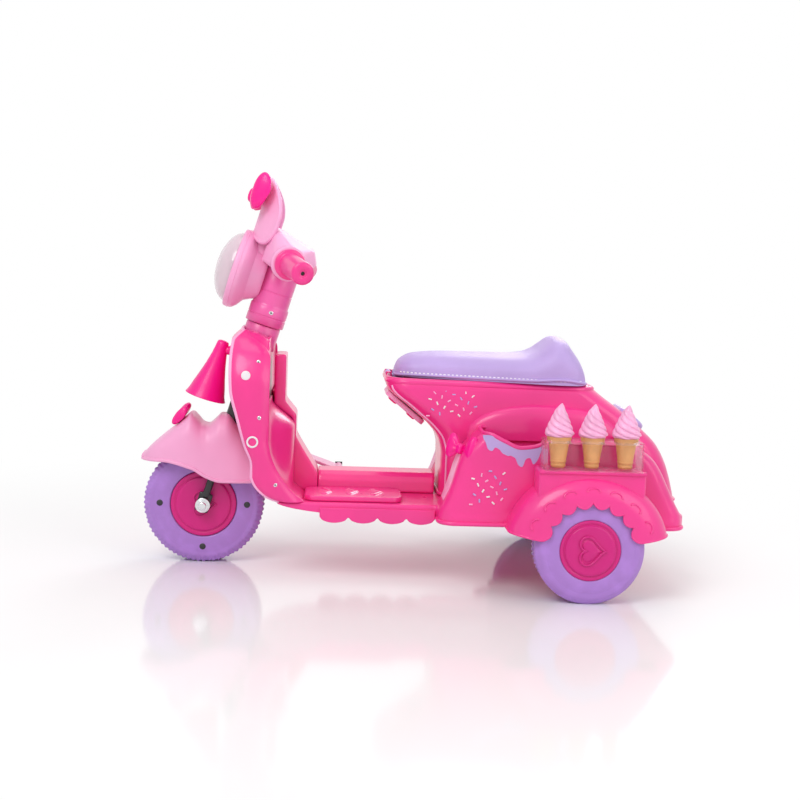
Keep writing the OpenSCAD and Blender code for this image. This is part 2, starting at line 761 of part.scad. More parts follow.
// Seat pod: an open-bottomed shell whose nose overhangs the foot floor and whose tail slopes down
pod_x = -44;
pod_len = 468;
pod_corner = 36;
pod_inset = 6;
pod_h = pod_top_z - seat_z;
// Height, front place, back place and width of each level
pod_shares = [[0, 0.193, 1, 0.91], [0.15, 0.193, 0.985, 0.94], [0.29, 0.193, 0.968, 0.96], [0.38, 0.193, 0.953, 0.98],
  [0.51, 0.182, 0.923, 0.99], [0.62, 0.15, 0.88, 1], [0.775, 0.077, 0.807, 1], [0.93, 0.004, 0.721, 0.97],
  [1, 0, 0.687, 0.9]];

function pod_ring(s, inset) = plan_ring(pod_x + s[1] * pod_len + inset, pod_x + s[2] * pod_len - inset,
  -s[3] * pod_half_w + inset, s[3] * pod_half_w - inset, pod_corner - inset, seat_z + s[0] * pod_h, 6);

module seat_pod() {
  last = len(pod_shares) - 1;
  color(body_pink)
    sleeve(concat([for (s = pod_shares) pod_ring(s, 0)], [for (i = [last:-1:0]) pod_ring(pod_shares[i], pod_inset)]));
}

// Frame on the sloping face under the nose, +Z outwards and +X up the slope
face_low = pod_shares[5];
face_high = pod_shares[7];
face_run = (face_low[1] - face_high[1]) * pod_len;
face_rise = (face_high[0] - face_low[0]) * pod_h;
face_angle = 270 - atan2(face_run, face_rise);
module on_pod_face() {
  translate([pod_x + pod_len * (face_low[1] + face_high[1]) / 2, 0, seat_z + pod_h * (face_low[0] + face_high[0]) / 2])
    rotate([0, face_angle, 0]) children();
}

panel_t = 8;
panel_half_x = 38;
panel_half_y = 44;
panel_corner = 12;
panel_lift = 0.5;
button_r = 9;
button_h = 9;
button_step = 19;
button_travel = 3;
button_clear = 0.3;

module pod_front_panel() {
  color(pale_pink) on_pod_face() translate([0, 0, panel_lift]) difference() {
    linear_extrude(height = panel_t)
      polygon([for (p = plan_ring(-panel_half_x, panel_half_x, -panel_half_y, panel_half_y, panel_corner, 0, 6)) [p[0], p[1]]]);
    for (side = [-1, 1]) translate([side * button_step, 0, -eps])
      cylinder(r = button_r + button_clear, h = panel_t + 2 * eps, $fn = round_fn);
  }
}

module button(side) {
  color(bow_pink) on_pod_face() translate([side * button_step, 0, panel_lift + button_travel + button_clear])
    rotate_extrude($fn = round_fn)
      polygon([[0, 0], [button_r, 0], [button_r, button_h - tyre_step], [button_r - tyre_step, button_h], [0, button_h]]);
}

module power_button() { button(1); }
module direction_button() { button(-1); }

// Tail lamp on the slope behind the seat
lamp_low = pod_shares[5];
lamp_high = pod_shares[6];
lamp_half_y = 40;
lamp_half_x = 27;
lamp_rise = 13;
tail_lamp_corner = 12;
module tail_lamp() {
  run = (lamp_low[2] - lamp_high[2]) * pod_len;
  rise = (lamp_high[0] - lamp_low[0]) * pod_h;
  color(seat_lilac) translate([pod_x + pod_len * (lamp_low[2] + lamp_high[2]) / 2, 0,
      seat_z + pod_h * (lamp_low[0] + lamp_high[0]) / 2]) rotate([0, atan2(rise, run), 0]) translate([0, 0, part_gap])
    loft([for (s = [[0, 0], [0.7, 0], [0.92, 0.12], [1, 0.3]]) plan_ring(-lamp_half_x + s[1] * tail_lamp_corner,
      lamp_half_x - s[1] * tail_lamp_corner, -lamp_half_y + s[1] * tail_lamp_corner, lamp_half_y - s[1] * tail_lamp_corner,
      tail_lamp_corner * (1 - s[1] / 2), s[0] * lamp_rise)]);
}

// Side tubs, open at the top
tub_x = 40;
tub_len = 366;
tub_h = tub_top_z - seat_z;
tub_corner = 22;
// Height, front place, back place of each level
tub_shares = [[0, 0, 1], [0.14, 0.02, 0.975], [0.37, 0.045, 0.94], [0.6, 0.065, 0.905], [0.75, 0.085, 0.875],
  [0.9, 0.125, 0.825], [1, 0.16, 0.79]];
// Rise of the rim along the tub, as shares of its height
tub_rim_shares = [[0, 0.02], [0.18, 0.03], [0.25, -0.06], [0.315, -0.14], [0.37, -0.12], [0.43, -0.06], [1, -0.06]];
tub_y0 = pod_half_w + tub_gap;

function tub_ring(s, inset) = let (flat = plan_ring(tub_x + s[1] * tub_len + inset, tub_x + s[2] * tub_len - inset,
    -tub_y0 - tub_w + inset, -tub_y0 - inset, tub_corner - inset, 0))
  [for (p = flat) [p[0], p[1], seat_z + tub_h * (s[0] + at(tub_rim_shares, (p[0] - tub_x) / tub_len) * pow(s[0], 3))]];

module tub() {
  last = len(tub_shares) - 1;
  floor_ring = [for (p = tub_ring(tub_shares[0], wall)) [p[0], p[1], seat_z + wall]];
  color(body_pink) loft(concat([for (s = tub_shares) tub_ring(s, 0)],
    [for (i = [last:-1:1]) tub_ring(tub_shares[i], wall)], [floor_ring]));
}

module left_tub() { tub(); }
module right_tub() { mirror([0, 1, 0]) tub(); }

// Wheel fenders outside the tubs, with a scalloped arch and a tray on top
arch_r = 88;
arch_outer_r = 110;
arch_low_r = 74;
arch_wall = 3;
arch_clear = 2;
arch_y0 = deck_half_w + part_gap;
arch_y1 = half_track + rear_w / 2 + arch_clear + arch_wall;
arch_round = 34;
arch_bevel = 13;
arch_start = 11;
scallop_r = 11;
scallop_count = 8;
tray_x0 = 176;
tray_x1 = 334;
tray_low_z = 166;
tray_top_z = 196;
arc_steps = 6;

// Section through a fender: radius from the wheel's axis against distance from the tub
module arch_section() {
  width = arch_y1 - arch_y0;
  bend = arch_outer_r - arch_round;
  outer = concat([[arch_outer_r, 0]], [for (i = [0:arc_steps]) let (a = 90 * i / arc_steps)
    [bend + arch_round * cos(a), width - arch_round + arch_round * sin(a)]], [[arch_low_r, width]]);
  polygon(concat(outer, [[arch_low_r, width - arch_wall], [arch_r - arch_bevel, width - arch_wall],
    [arch_r, width - arch_wall - arch_bevel], [arch_r, arch_wall], [arch_low_r, arch_wall], [arch_low_r, 0]]));
}

module at_fender() {
  translate([rear_axle_x, -arch_y0, rear_r]) rotate([90, 0, 0]) children();
}

module wheel_fender() {
  width = arch_y1 - arch_y0;
  span = 180 - 2 * arch_start;
  color(body_pink) {
    at_fender() rotate(arch_start) rotate_extrude(angle = span, $fn = round_fn) arch_section();
    translate([tray_x0, -arch_y1 + arch_round - arch_wall, tray_low_z]) difference() {
      cube([tray_x1 - tray_x0, width - arch_round, tray_top_z - tray_low_z]);
      translate([rear_axle_x - tray_x0, width / 2, rear_r - tray_low_z])
        across(arch_outer_r - arch_wall, 2 * width);
    }
    // Drips along the arch's edge
    for (i = [0:scallop_count - 1]) let (a = arch_start + span * (i + 1 / 2) / scallop_count)
      translate([rear_axle_x + arch_low_r * cos(a), -arch_y1 + arch_wall / 2, rear_r + arch_low_r * sin(a)])
        across(scallop_r, arch_wall - part_gap);
  }
}

module left_wheel_fender() { wheel_fender(); }
module right_wheel_fender() { mirror([0, 1, 0]) wheel_fender(); }

// Clear rack: floor, end walls and a top plate with a hole for each cone
rack_half_y = 24;
rack_t = 3;
rack_top_z = 240;
rack_end = 22;
hole_clear = 0.8;
wafer_low_r = 9.7;
wafer_h = 46;
rack_low_z = tray_top_z + part_gap;
cone_low_z = rack_low_z + rack_t + part_gap;
function cone_x(i) = rear_axle_x + (i - (cone_count - 1) / 2) * cone_pitch;

module rack() {
  x0 = cone_x(0) - rack_end;
  length = cone_x(cone_count - 1) + rack_end - x0;
  height = rack_top_z - rack_low_z;
  color([1, 0.9, 0.96, 0.5]) translate([x0, -half_track - rack_half_y, rack_low_z]) difference() {
    cube([length, 2 * rack_half_y, height]);
    translate([rack_t, -eps, rack_t])
      cube([length - 2 * rack_t, 2 * rack_half_y - rack_t + eps, height - 2 * rack_t]);
    for (i = [0:cone_count - 1]) translate([cone_x(i) - x0, rack_half_y, height - rack_t - eps])
      cylinder(r = wafer_r + hole_clear, h = rack_t + 2 * eps, $fn = round_fn);
  }
}

module left_rack() { rack(); }
module right_rack() { mirror([0, 1, 0]) rack(); }

// Toy cone: tapered wafer with a rim band, and a swirl of stacked rolls above it
swirl_r = 21.5;
swirl_h = 48;
wafer_band = 6;
// Height and radius of the creases and crests of the rolls
swirl_shares = [[0, 0.76], [0.08, 0.94], [0.18, 1], [0.28, 0.94], [0.34, 0.78], [0.44, 0.84], [0.54, 0.74], [0.59, 0.58],
  [0.68, 0.6], [0.76, 0.48], [0.8, 0.34], [0.88, 0.3], [0.95, 0.14], [1, 0]];

module cone(side, i) {
  translate([cone_x(i), side * half_track, cone_low_z]) {
    color(wafer_tan) {
      cylinder(r1 = wafer_low_r, r2 = wafer_r, h = wafer_h, $fn = round_fn);
      translate([0, 0, wafer_h - wafer_band / 2]) cylinder(r = wafer_r, h = wafer_band / 2, $fn = round_fn);
    }
    color("#f9b4dc") translate([0, 0, wafer_h]) rotate_extrude($fn = round_fn)
      polygon(concat([[0, 0]], [for (s = swirl_shares) [s[1] * swirl_r, s[0] * swirl_h]]));
  }
}

module cone_left_1() { cone(-1, 0); }
module cone_left_2() { cone(-1, 1); }
module cone_left_3() { cone(-1, 2); }
module cone_right_1() { cone(1, 0); }
module cone_right_2() { cone(1, 1); }
module cone_right_3() { cone(1, 2); }

// Bow on the front of each tub
tub_bow_half = 30;
tub_bow_h = 17;
tub_bow_d = 14;
tub_bow_level = 4;
tub_bow_seat = 0.9;
module tub_bow() {
  s = tub_shares[tub_bow_level];
  color(bow_pink) translate([tub_x + s[1] * tub_len - tub_bow_seat, -tub_y0 - tub_w / 2, seat_z + s[0] * tub_h])
    rotate([0, rake, 0]) bow(tub_bow_half, tub_bow_h, tub_bow_d);
}
module left_tub_bow() { tub_bow(); }
module right_tub_bow() { mirror([0, 1, 0]) tub_bow(); }

// Running gear under the deck
block_y0 = 60;
block_t = 24;
block_half_x = 16;
block_drop = 13;
deck_low_z = floor_z - pan_t;
module axle_blocks() {
  color(steel_black) both_sides() difference() {
    translate([rear_axle_x - block_half_x, -block_y0 - block_t, rear_r - block_drop])
      cube([2 * block_half_x, block_t, deck_low_z - part_gap - rear_r + block_drop]);
    translate([rear_axle_x, 0, rear_r]) across(axle_r + run_clear, 4 * block_y0);
  }
}

gear_y0 = 130;
gear_t = 50;
gear_half_x = 40;
gear_drop = 26;
motor_r = 18;
motor_len = 58;
module gearbox_motor() {
  color(steel_black) difference() {
    union() {
      translate([rear_axle_x - gear_half_x, gear_y0, rear_r - gear_drop])
        cube([2 * gear_half_x, gear_t, deck_low_z - part_gap - rear_r + gear_drop]);
      translate([rear_axle_x - gear_half_x - motor_len, gear_y0 + gear_t / 2, rear_r]) rotate([0, 90, 0])
        cylinder(r = motor_r, h = motor_len + eps, $fn = round_fn);
    }
    translate([rear_axle_x, 0, rear_r]) across(axle_r + part_gap, 4 * gear_y0);
  }
}

battery_x = 120;
battery_len = 151;
battery_half_w = 32.5;
battery_h = 94;
battery_corner = 5;
post_r = 4;
post_h = 6;
module battery() {
  color(steel_black) translate([battery_x, 0, seat_z]) {
    linear_extrude(height = battery_h)
      polygon([for (p = plan_ring(0, battery_len, -battery_half_w, battery_half_w, battery_corner, 0)) [p[0], p[1]]]);
    for (side = [-1, 1]) translate([battery_len / 2 + side * battery_len / 3, battery_half_w / 2, battery_h])
      cylinder(r = post_r, h = post_h, $fn = round_fn / 2);
  }
}

// Accelerator pedal on the right foot pad
pedal_x = -112;
pedal_z = 140;
pedal_y0 = 60;
pedal_y1 = 110;
pedal_len = 54;
pedal_t = 5;
pedal_slope = 19;
barrel_r = 6;
pin_r = 3;
ear_t = 5;
mount_half_x = 12;
mount_y0 = 53.6;
mount_y1 = 116.4;
pedal_gap = 0.6;
mount_z = floor_z + pad_t + 2 * part_gap;

module pedal() {
  width = pedal_y1 - pedal_y0;
  color(pale_pink) translate([pedal_x, (pedal_y0 + pedal_y1) / 2, pedal_z]) {
    difference() {
      across(barrel_r, width);
      across(pin_r + run_clear, 2 * pedal_y1);
    }
    // The plate ends inside the barrel's wall
    rotate([0, pedal_slope, 0]) translate([-pedal_len, pedal_gap - width / 2, -pedal_t / 2])
      cube([pedal_len - (barrel_r + pin_r) / 2, width - 2 * pedal_gap, pedal_t]);
  }
}

module pedal_mount() {
  ear_h = pedal_z + barrel_r - mount_z;
  color(steel_black) difference() {
    union() {
      translate([pedal_x - mount_half_x, mount_y0, mount_z])
        cube([2 * mount_half_x, mount_y1 - mount_y0, tyre_step]);
      for (y = [mount_y0, mount_y1 - ear_t]) translate([pedal_x - barrel_r, y, mount_z]) cube([2 * barrel_r, ear_t, ear_h]);
    }
    translate([pedal_x, 0, pedal_z]) across(pin_r + run_clear, 4 * pedal_y1);
  }
}

module pedal_pin() {
  color(chrome) translate([pedal_x, (mount_y0 + mount_y1) / 2, pedal_z]) across(pin_r, mount_y1 - mount_y0 + tyre_step);
}

// Seat, hinged at its nose
seat_x = -30;
seat_len = 302;
seat_half_w = 90;
seat_hump = 34;
seat_low_z = pod_top_z + part_gap;
seat_pts = 24;
seat_square_share = 0.62;
// Place, half width and height of each station; the height runs from 0 to the crown at 1 and the hump at 2
seat_shares = [[0, 0.34, 0.3], [0.025, 0.54, 0.62], [0.1, 0.68, 0.9], [0.25, 0.77, 1], [0.42, 0.84, 1.04], [0.6, 0.92, 1.16],
  [0.72, 0.98, 1.5], [0.8, 1, 1.84], [0.84, 1, 1.94], [0.88, 0.99, 1.8], [0.93, 0.97, 1.3], [0.97, 0.9, 0.86], [1, 0.72, 0.4]];
hinge_x = -38;
hinge_z = 309.5;
hinge_r = 5;
hinge_half = 19;
tongue_t = 5;

function seat_height(s) = min(s, 1) * seat_crown + max(0, s - 1) * seat_hump;
function seat_ring(s) = let (w = s[1] * seat_half_w, h = seat_height(s[2])) [for (j = [0:seat_pts - 1])
  let (a = 180 * j / (seat_pts - 1)) [seat_x + s[0] * seat_len, w * sign(cos(a)) * pow(abs(cos(a)), seat_square_share),
    seat_low_z + h * pow(sin(a), seat_square_share)]];

module seat() {
  color(seat_lilac) {
    loft([for (s = seat_shares) [for (p = seat_ring(s)) p]]);
    difference() {
      union() {
        translate([hinge_x, 0, hinge_z]) across(hinge_r, 2 * hinge_half);
        translate([hinge_x, -hinge_half, hinge_z - hinge_r])
          cube([seat_x - hinge_x + 2 * tongue_t, 2 * hinge_half, tongue_t]);
      }
      translate([hinge_x, 0, hinge_z]) across(pin_r + run_clear, 4 * hinge_half);
    }
  }
}

module seat_hinge() {
  low = pod_top_z + part_gap;
  color(body_pink) both_sides() difference() {
    translate([hinge_x - hinge_r, -hinge_half - pedal_gap - ear_t, low]) cube([2 * hinge_r, ear_t, hinge_z + hinge_r - low]);
    translate([hinge_x, 0, hinge_z]) across(pin_r + run_clear, 4 * hinge_half);
  }
}

module seat_pin() {
  color(chrome) translate([hinge_x, 0, hinge_z]) across(pin_r, 2 * (hinge_half + pedal_gap + ear_t));
}

fork();
front_axle();
axle_nuts();
front_fender();
fender_bow();
column_cover();
handlebar();
headset_cover();
grip_left();
grip_right();
headlight_housing();
headlight_lens();
fly_screen();
headlight_bow();
front_tyre();
front_hubs();
front_plugs();
rear_left_tyre();
rear_left_hubcap();
rear_right_tyre();
rear_right_hubcap();
floor_pan();
foot_pads();
scallop_skirts();
leg_shield();
leg_shield_liner();
shield_flanks();
head_tube();
spine_cover();
tunnel_cover();
horn_cone();
seat_pod();
pod_front_panel();
left_tub();
right_tub();
left_wheel_fender();
right_wheel_fender();
left_rack();
right_rack();
left_tub_bow();
right_tub_bow();
rear_axle();
axle_blocks();
battery();
gearbox_motor();
tail_lamp();
pedal();
pedal_mount();
pedal_pin();
power_button();
direction_button();
seat();
seat_hinge();
seat_pin();
cone_left_1();
cone_left_2();
cone_left_3();
cone_right_1();
cone_right_2();
cone_right_3();
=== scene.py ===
"""Dresses the ice cream tricycle: moulded shells, wheels, seat, racks of toy cones and a pale studio."""

import json
from math import asin, atan2, copysign, cos, exp, pi, radians, sin, sqrt, tan, tanh

import bmesh
import bpy
from mathutils import Matrix, Vector


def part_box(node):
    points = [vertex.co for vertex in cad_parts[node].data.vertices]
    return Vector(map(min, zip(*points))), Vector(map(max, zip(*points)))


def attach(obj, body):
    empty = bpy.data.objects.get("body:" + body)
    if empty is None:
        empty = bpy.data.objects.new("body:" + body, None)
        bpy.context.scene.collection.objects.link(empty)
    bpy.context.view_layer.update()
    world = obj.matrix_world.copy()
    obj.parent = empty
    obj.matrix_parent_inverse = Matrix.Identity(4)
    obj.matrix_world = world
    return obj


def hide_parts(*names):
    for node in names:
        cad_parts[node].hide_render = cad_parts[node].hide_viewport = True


bl_info = {
    "name": "Ice Cream Tricycle",
    "version": (1, 0, 0),
    "blender": (4, 5, 0),
    "location": "View3D > Sidebar > Tricycle",
    "description": "Builds the looks of a child's ice cream tricycle around its packed frame",
    "category": "Object",
}

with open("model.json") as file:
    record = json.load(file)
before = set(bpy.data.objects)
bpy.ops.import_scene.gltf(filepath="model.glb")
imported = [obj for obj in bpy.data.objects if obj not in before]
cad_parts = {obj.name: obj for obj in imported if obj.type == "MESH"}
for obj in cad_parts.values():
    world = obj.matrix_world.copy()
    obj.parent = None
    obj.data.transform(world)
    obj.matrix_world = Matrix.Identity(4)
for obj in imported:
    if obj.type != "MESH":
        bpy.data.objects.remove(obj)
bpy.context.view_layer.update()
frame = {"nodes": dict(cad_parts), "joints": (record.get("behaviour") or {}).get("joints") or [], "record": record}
MM = 0.001
TURN = 2 * pi
SIDES = (("left", -1), ("right", 1))


def joint(name):
    """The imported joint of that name."""
    return next(j for j in frame["joints"] if j["name"] == name)


BOXES = {name: [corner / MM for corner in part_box(name)] for name in frame["nodes"]}


def low(node):
    """Lowest corner of a node in millimetres."""
    return BOXES[node][0]


def high(node):
    """Highest corner of a node in millimetres."""
    return BOXES[node][1]


def middle(node):
    """Centre of a node's box in millimetres."""
    return (low(node) + high(node)) / 2


def at(*place):
    """Moves to a place, given as one point or as three numbers."""
    return Matrix.Translation(place[0] if len(place) == 1 else place)


def spin(angle, axis):
    """Turns about an axis by an angle in radians."""
    return Matrix.Rotation(angle, 4, axis)


def aimed(centre, direction):
    """A frame at a centre whose +Z runs along a direction."""
    return at(centre) @ Vector(direction).to_track_quat("Z", "Y").to_matrix().to_4x4()


def sideways(centre, side):
    """A frame at a centre whose +Z runs out to a side."""
    return at(centre) @ spin(-side * TURN / 4, "X")


FRONT_AXLE = Vector(joint("steer")["pos_m"]) / MM
STEER_AXIS = Vector(joint("steer")["axis"])
REAR_AXLE = Vector((middle("rear_axle").x, 0, middle("rear_axle").z))
RAKE = atan2(STEER_AXIS.x, STEER_AXIS.z)
STEERING = at(FRONT_AXLE) @ spin(RAKE, "Y")


class TricyclePaint(bpy.types.PropertyGroup):
    """Colours that a user would change, in linear light."""

    def tint(label, words, colour):
        return bpy.props.FloatVectorProperty(
            name=label, description=words, subtype="COLOR", size=3, min=0, max=1, default=colour
        )

    body: tint("Body pink", "Hot pink of the main shells", (0.86, 0.035, 0.27))
    # Pale pink also colours the painted highlights along the pod's front corners and down the tub fronts.
    pale: tint("Pale pink", "Light pink of fender, headlight and trim", (0.9, 0.4, 0.65))
    rose: tint("Rose pink", "Middle pink of the column", (0.8, 0.12, 0.39))
    bow: tint("Bow pink", "Strong pink of bows and horn", (0.93, 0.004, 0.28))
    hub: tint("Hub pink", "Magenta of the hub discs", (0.62, 0.008, 0.2))
    tyre: tint("Tyre lilac", "Lilac of the tyres", (0.4, 0.2, 0.6))
    seat: tint("Seat lilac", "Lilac of the seat", (0.5, 0.36, 0.72))
    wafer: tint("Wafer tan", "Tan of the toy wafers", (0.72, 0.36, 0.14))
    swirl: tint("Swirl pink", "Pale pink of the toy ice cream", (0.9, 0.42, 0.66))
    lens: tint("Lens white", "Milky white of the headlight lens", (0.7, 0.55, 0.62))


class TricycleSizes(bpy.types.PropertyGroup):
    """Sizes that a user would change."""

    def length(label, words, value):
        return bpy.props.FloatProperty(name=label, description=words, default=value, min=0, unit="LENGTH")

    bead: length("Bead", "Radius of the rolled beads along the edges", 0.0022)
    voxel: length("Voxel", "Grain at which plain solids are rounded over", 0.0016)
    stitch: length("Stitch", "Length of one stitch along the seat's base", 0.0034)
    camera_distance: length("Camera distance", "From the camera to the middle plane", 2.2)


def sizes():
    return bpy.context.scene.tricycle_sizes


def paint():
    return bpy.context.scene.tricycle_paint


# Shader maths


class Socket:
    """Wraps an output socket so that sums and products add Math nodes."""

    def __init__(self, shader, out):
        self.shader, self.out = shader, out

    def math(self, operation, *values):
        return self.shader.node("ShaderNodeMath", {"operation": operation}, dict(enumerate(values)))

    def __add__(self, other):
        return self.math("ADD", self, other)

    def __mul__(self, other):
        return self.math("MULTIPLY", self, other)

    __radd__ = __add__
    __rmul__ = __mul__

    def sine(self):
        return self.math("SINE", self)

    def larger(self, other):
        return self.math("MAXIMUM", self, other)

    def step(self, start, stop):
        """0 below start and 1 above stop, smooth between them."""
        settings = {"interpolation_type": "SMOOTHSTEP"}
        values = {"Value": self, "From Min": start, "From Max": stop}
        return self.shader.node("ShaderNodeMapRange", settings, values)


class Nodes:
    """A node tree whose nodes all come from one method."""

    def __init__(self, tree):
        self.tree = tree

    def node(self, kind, settings, values, output=0):
        made = self.tree.nodes.new(kind)
        for key, value in settings.items():
            setattr(made, key, value)
        for key, value in values.items():
            self.feed(made.inputs[key], value)
        return Socket(self, made.outputs[output]) if made.outputs else None

    def feed(self, socket, value):
        if isinstance(value, Socket):
            self.tree.links.new(value.out, socket)
        else:
            socket.default_value = value

    def background_rays(self):
        """1 for rays that show the background: from the camera, in a gloss or through something clear."""
        kinds = ("Is Camera Ray", "Is Glossy Ray", "Is Transmission Ray")
        camera, glossy, through = (self.node("ShaderNodeLightPath", {}, {}, kind) for kind in kinds)
        return camera.larger(glossy).larger(through)


class Shader(Nodes):
    """One material's node tree, with a Principled shader at its end."""

    def __init__(self, name):
        self.material = bpy.data.materials.new(name)
        self.material.use_nodes = True
        super().__init__(self.material.node_tree)
        self.surface = self.tree.nodes["Principled BSDF"]
        self.place = self.node("ShaderNodeTexCoord", {}, {}, "Object")

    def set(self, **values):
        for key, value in values.items():
            self.feed(self.surface.inputs[key.replace("_", " ")], value)

    def noise(self, scale, detail, place=None):
        values = {"Vector": place or self.place, "Scale": scale, "Detail": detail}
        return self.node("ShaderNodeTexNoise", {}, values)

    def blend(self, factor, first, second):
        values = {0: factor, 6: (*first, 1), 7: (*second, 1)}
        return self.node("ShaderNodeMix", {"data_type": "RGBA"}, values, 2)

    def vary(self, mask, colour, darker, lighter, rough, rougher, **rest):
        """Lets the colour go from a darker to a lighter shade, and the roughness rise, with a mask."""
        shades = self.blend(mask, tinted(colour, darker), tinted(colour, lighter))
        self.set(Base_Color=shades, Roughness=rough + rougher * mask, **rest)

    def bump(self, height, strength, distance):
        values = {"Height": height, "Strength": strength, "Distance": distance}
        self.set(Normal=self.node("ShaderNodeBump", {}, values, "Normal"))

    def axis(self, name):
        return self.node("ShaderNodeSeparateXYZ", {}, {0: self.place}, name)


def tinted(colour, factor):
    """A colour made lighter or darker by a factor, kept within range."""
    return tuple(min(1.0, c * factor) for c in colour)


# Materials


def plastic(name, colour, rough=0.27, coat=0.3):
    """Glossy moulded plastic: a soft cloud in the colour, handling marks in the gloss and a fine grain."""
    s = Shader(name)
    cloud = s.noise(7.0, 3.0).step(0.3, 0.7)
    marks = s.noise(60.0, 5.0).step(0.45, 0.75)
    gloss = {"Coat_Weight": coat, "Coat_Roughness": 0.1, "Specular_IOR_Level": 0.42}
    s.vary(cloud, colour, 0.94, 1.05, rough + 0.06 * marks, 0.05, **gloss)
    s.bump(s.noise(1400.0, 2.0) + 2.0 * s.noise(140.0, 1.0), 0.1, 0.0003)
    return s.material


def rubber(name, colour):
    """Blow-moulded tyre plastic: satin, with scuffs and a pebbled grain."""
    s = Shader(name)
    scuff = s.noise(45.0, 6.0).step(0.42, 0.72)
    s.vary(scuff, colour, 1, 1.12, 0.36, 0.16, Coat_Weight=0.12, Coat_Roughness=0.3)
    s.bump(s.noise(900.0, 3.0) + scuff, 0.16, 0.0004)
    return s.material


def cushion(name, colour):
    """Seat plastic with a pebbled, leather-like grain."""
    s = Shader(name)
    cells = {"Vector": s.place, "Scale": 420.0}
    cell = s.node("ShaderNodeTexVoronoi", {"feature": "DISTANCE_TO_EDGE"}, cells, "Distance")
    cloud = s.noise(11.0, 4.0).step(0.3, 0.7)
    s.vary(cloud, colour, 0.93, 1.06, 0.42, 0.1, Coat_Weight=0.05, Coat_Roughness=0.3)
    s.bump(cell.step(0.0, 0.12), 0.22, 0.0003)
    return s.material


def metal(name, colour, rough, brushed):
    """Plated metal with fine drawn lines."""
    s = Shader(name)
    stretched = s.node("ShaderNodeMapping", {}, {"Vector": s.place, "Scale": (900.0, 40.0, 900.0)})
    lines = s.noise(1.0, 3.0, stretched)
    worn = s.noise(80.0, 5.0).step(0.5, 0.75)
    s.vary(worn, colour, 1, 0.86, rough + 0.1 * lines, 0.12, Metallic=1.0)
    s.bump(lines, brushed, 0.0002)
    return s.material


def powder_coat(name, colour):
    """Black coated steel with an orange-peel skin."""
    s = Shader(name)
    worn = s.noise(34.0, 6.0).step(0.56, 0.74)
    s.vary(worn, colour, 1, 1.9, 0.34, 0.2, Coat_Weight=0.2, Coat_Roughness=0.25)
    s.bump(s.noise(420.0, 2.0), 0.25, 0.0004)
    return s.material


def milky(name, colour):
    """Lens moulding: milky, with fine ribs that run down it."""
    s = Shader(name)
    ribs = (s.axis("Y") * 900.0).sine()
    cloud = s.noise(18.0, 3.0).step(0.3, 0.7)
    depth = {"Subsurface_Weight": 0.25, "Subsurface_Radius": (0.012, 0.009, 0.01)}
    s.vary(cloud, colour, 0.95, 1.06, 0.14, 0.06, Coat_Weight=0.5, Coat_Roughness=0.05, **depth)
    s.bump(ribs * 0.5 + s.noise(700.0, 2.0) * 0.2, 0.07, 0.0004)
    return s.material


def clear(name, colour):
    """Clear acrylic with a faint pink cast and handling marks."""
    s = Shader(name)
    marks = s.noise(70.0, 5.0).step(0.5, 0.8)
    shade = s.blend(marks, colour, (1.0, 0.97, 0.99))
    s.set(Base_Color=shade, Roughness=0.03 + 0.1 * marks, Alpha=0.5 + 0.1 * marks)
    s.set(IOR=1.46, Transmission_Weight=0.92)
    s.bump(s.noise(260.0, 2.0), 0.04, 0.0002)
    return s.material


def waffle(name, colour):
    """Toy wafer: baked tan, browner in patches."""
    s = Shader(name)
    s.vary(s.noise(45.0, 4.0).step(0.3, 0.75), colour, 0.9, 1.07, 0.38, 0.12)
    s.bump(s.noise(900.0, 3.0), 0.15, 0.0004)
    return s.material


def cream(name, colour):
    """Toy ice cream: soft pale plastic with a light bloom."""
    s = Shader(name)
    fold = s.noise(40.0, 4.0).step(0.3, 0.7)
    depth = {"Subsurface_Weight": 0.12, "Subsurface_Radius": (0.006, 0.004, 0.004)}
    s.vary(fold, colour, 0.93, 1.08, 0.3, 0.12, Coat_Weight=0.2, **depth)
    s.bump(s.noise(700.0, 3.0), 0.1, 0.0003)
    return s.material


# Each look: slot, maker, name of the material, colour or name of a paint, and what else the maker takes
FINISHES = {
    "body": ("body_pink", plastic, "body_pink_plastic", "body"),
    "pale": ("pale_pink", plastic, "pale_pink_plastic", "pale", 0.36, 0.1),
    "rose": ("pale_pink", plastic, "rose_pink_plastic", "rose"),
    "bow": ("bow_pink", plastic, "bow_pink_plastic", "bow", 0.3, 0.12),
    "hub": ("hub_pink", plastic, "hub_pink_plastic", "hub", 0.34, 0.1),
    "white": ("lens_white", plastic, "white_trim_plastic", (0.84, 0.8, 0.83), 0.28, 0.3),
    "lilac": ("seat_lilac", plastic, "lilac_trim_plastic", "seat", 0.3, 0.25),
    "tyre": ("tyre_lilac", rubber, "tyre_lilac_satin", "tyre"),
    "seat": ("seat_lilac", cushion, "seat_lilac_grained", "seat"),
    "lens": ("lens_white", milky, "lens_milky", "lens"),
    "black": ("black_steel", powder_coat, "black_coated_steel", (0.012, 0.012, 0.014)),
    "dark": ("black_plastic", rubber, "black_plastic_satin", (0.02, 0.02, 0.024)),
    "chrome": ("bright_steel", metal, "bright_plated_steel", (0.72, 0.73, 0.75), 0.12, 0.06),
    "clear": ("clear_acrylic", clear, "clear_acrylic", (1.0, 0.93, 0.97)),
    "wafer": ("cone_toy", waffle, "toy_wafer_tan", "wafer"),
    "cream": ("cone_toy", cream, "toy_cream_pink", "swirl"),
}
LOOKS = {}


def look(name):
    """Material of that name, made when it is first asked for."""
    if name not in LOOKS:
        _, maker, title, colour, *rest = FINISHES[name]
        LOOKS[name] = maker(title, getattr(paint(), colour) if isinstance(colour, str) else colour, *rest)
    return LOOKS[name]


# Mesh helpers, all in millimetres

BODY_OF = {n: body for body, nodes in frame["record"]["behaviour"]["bodies"].items() for n in nodes}


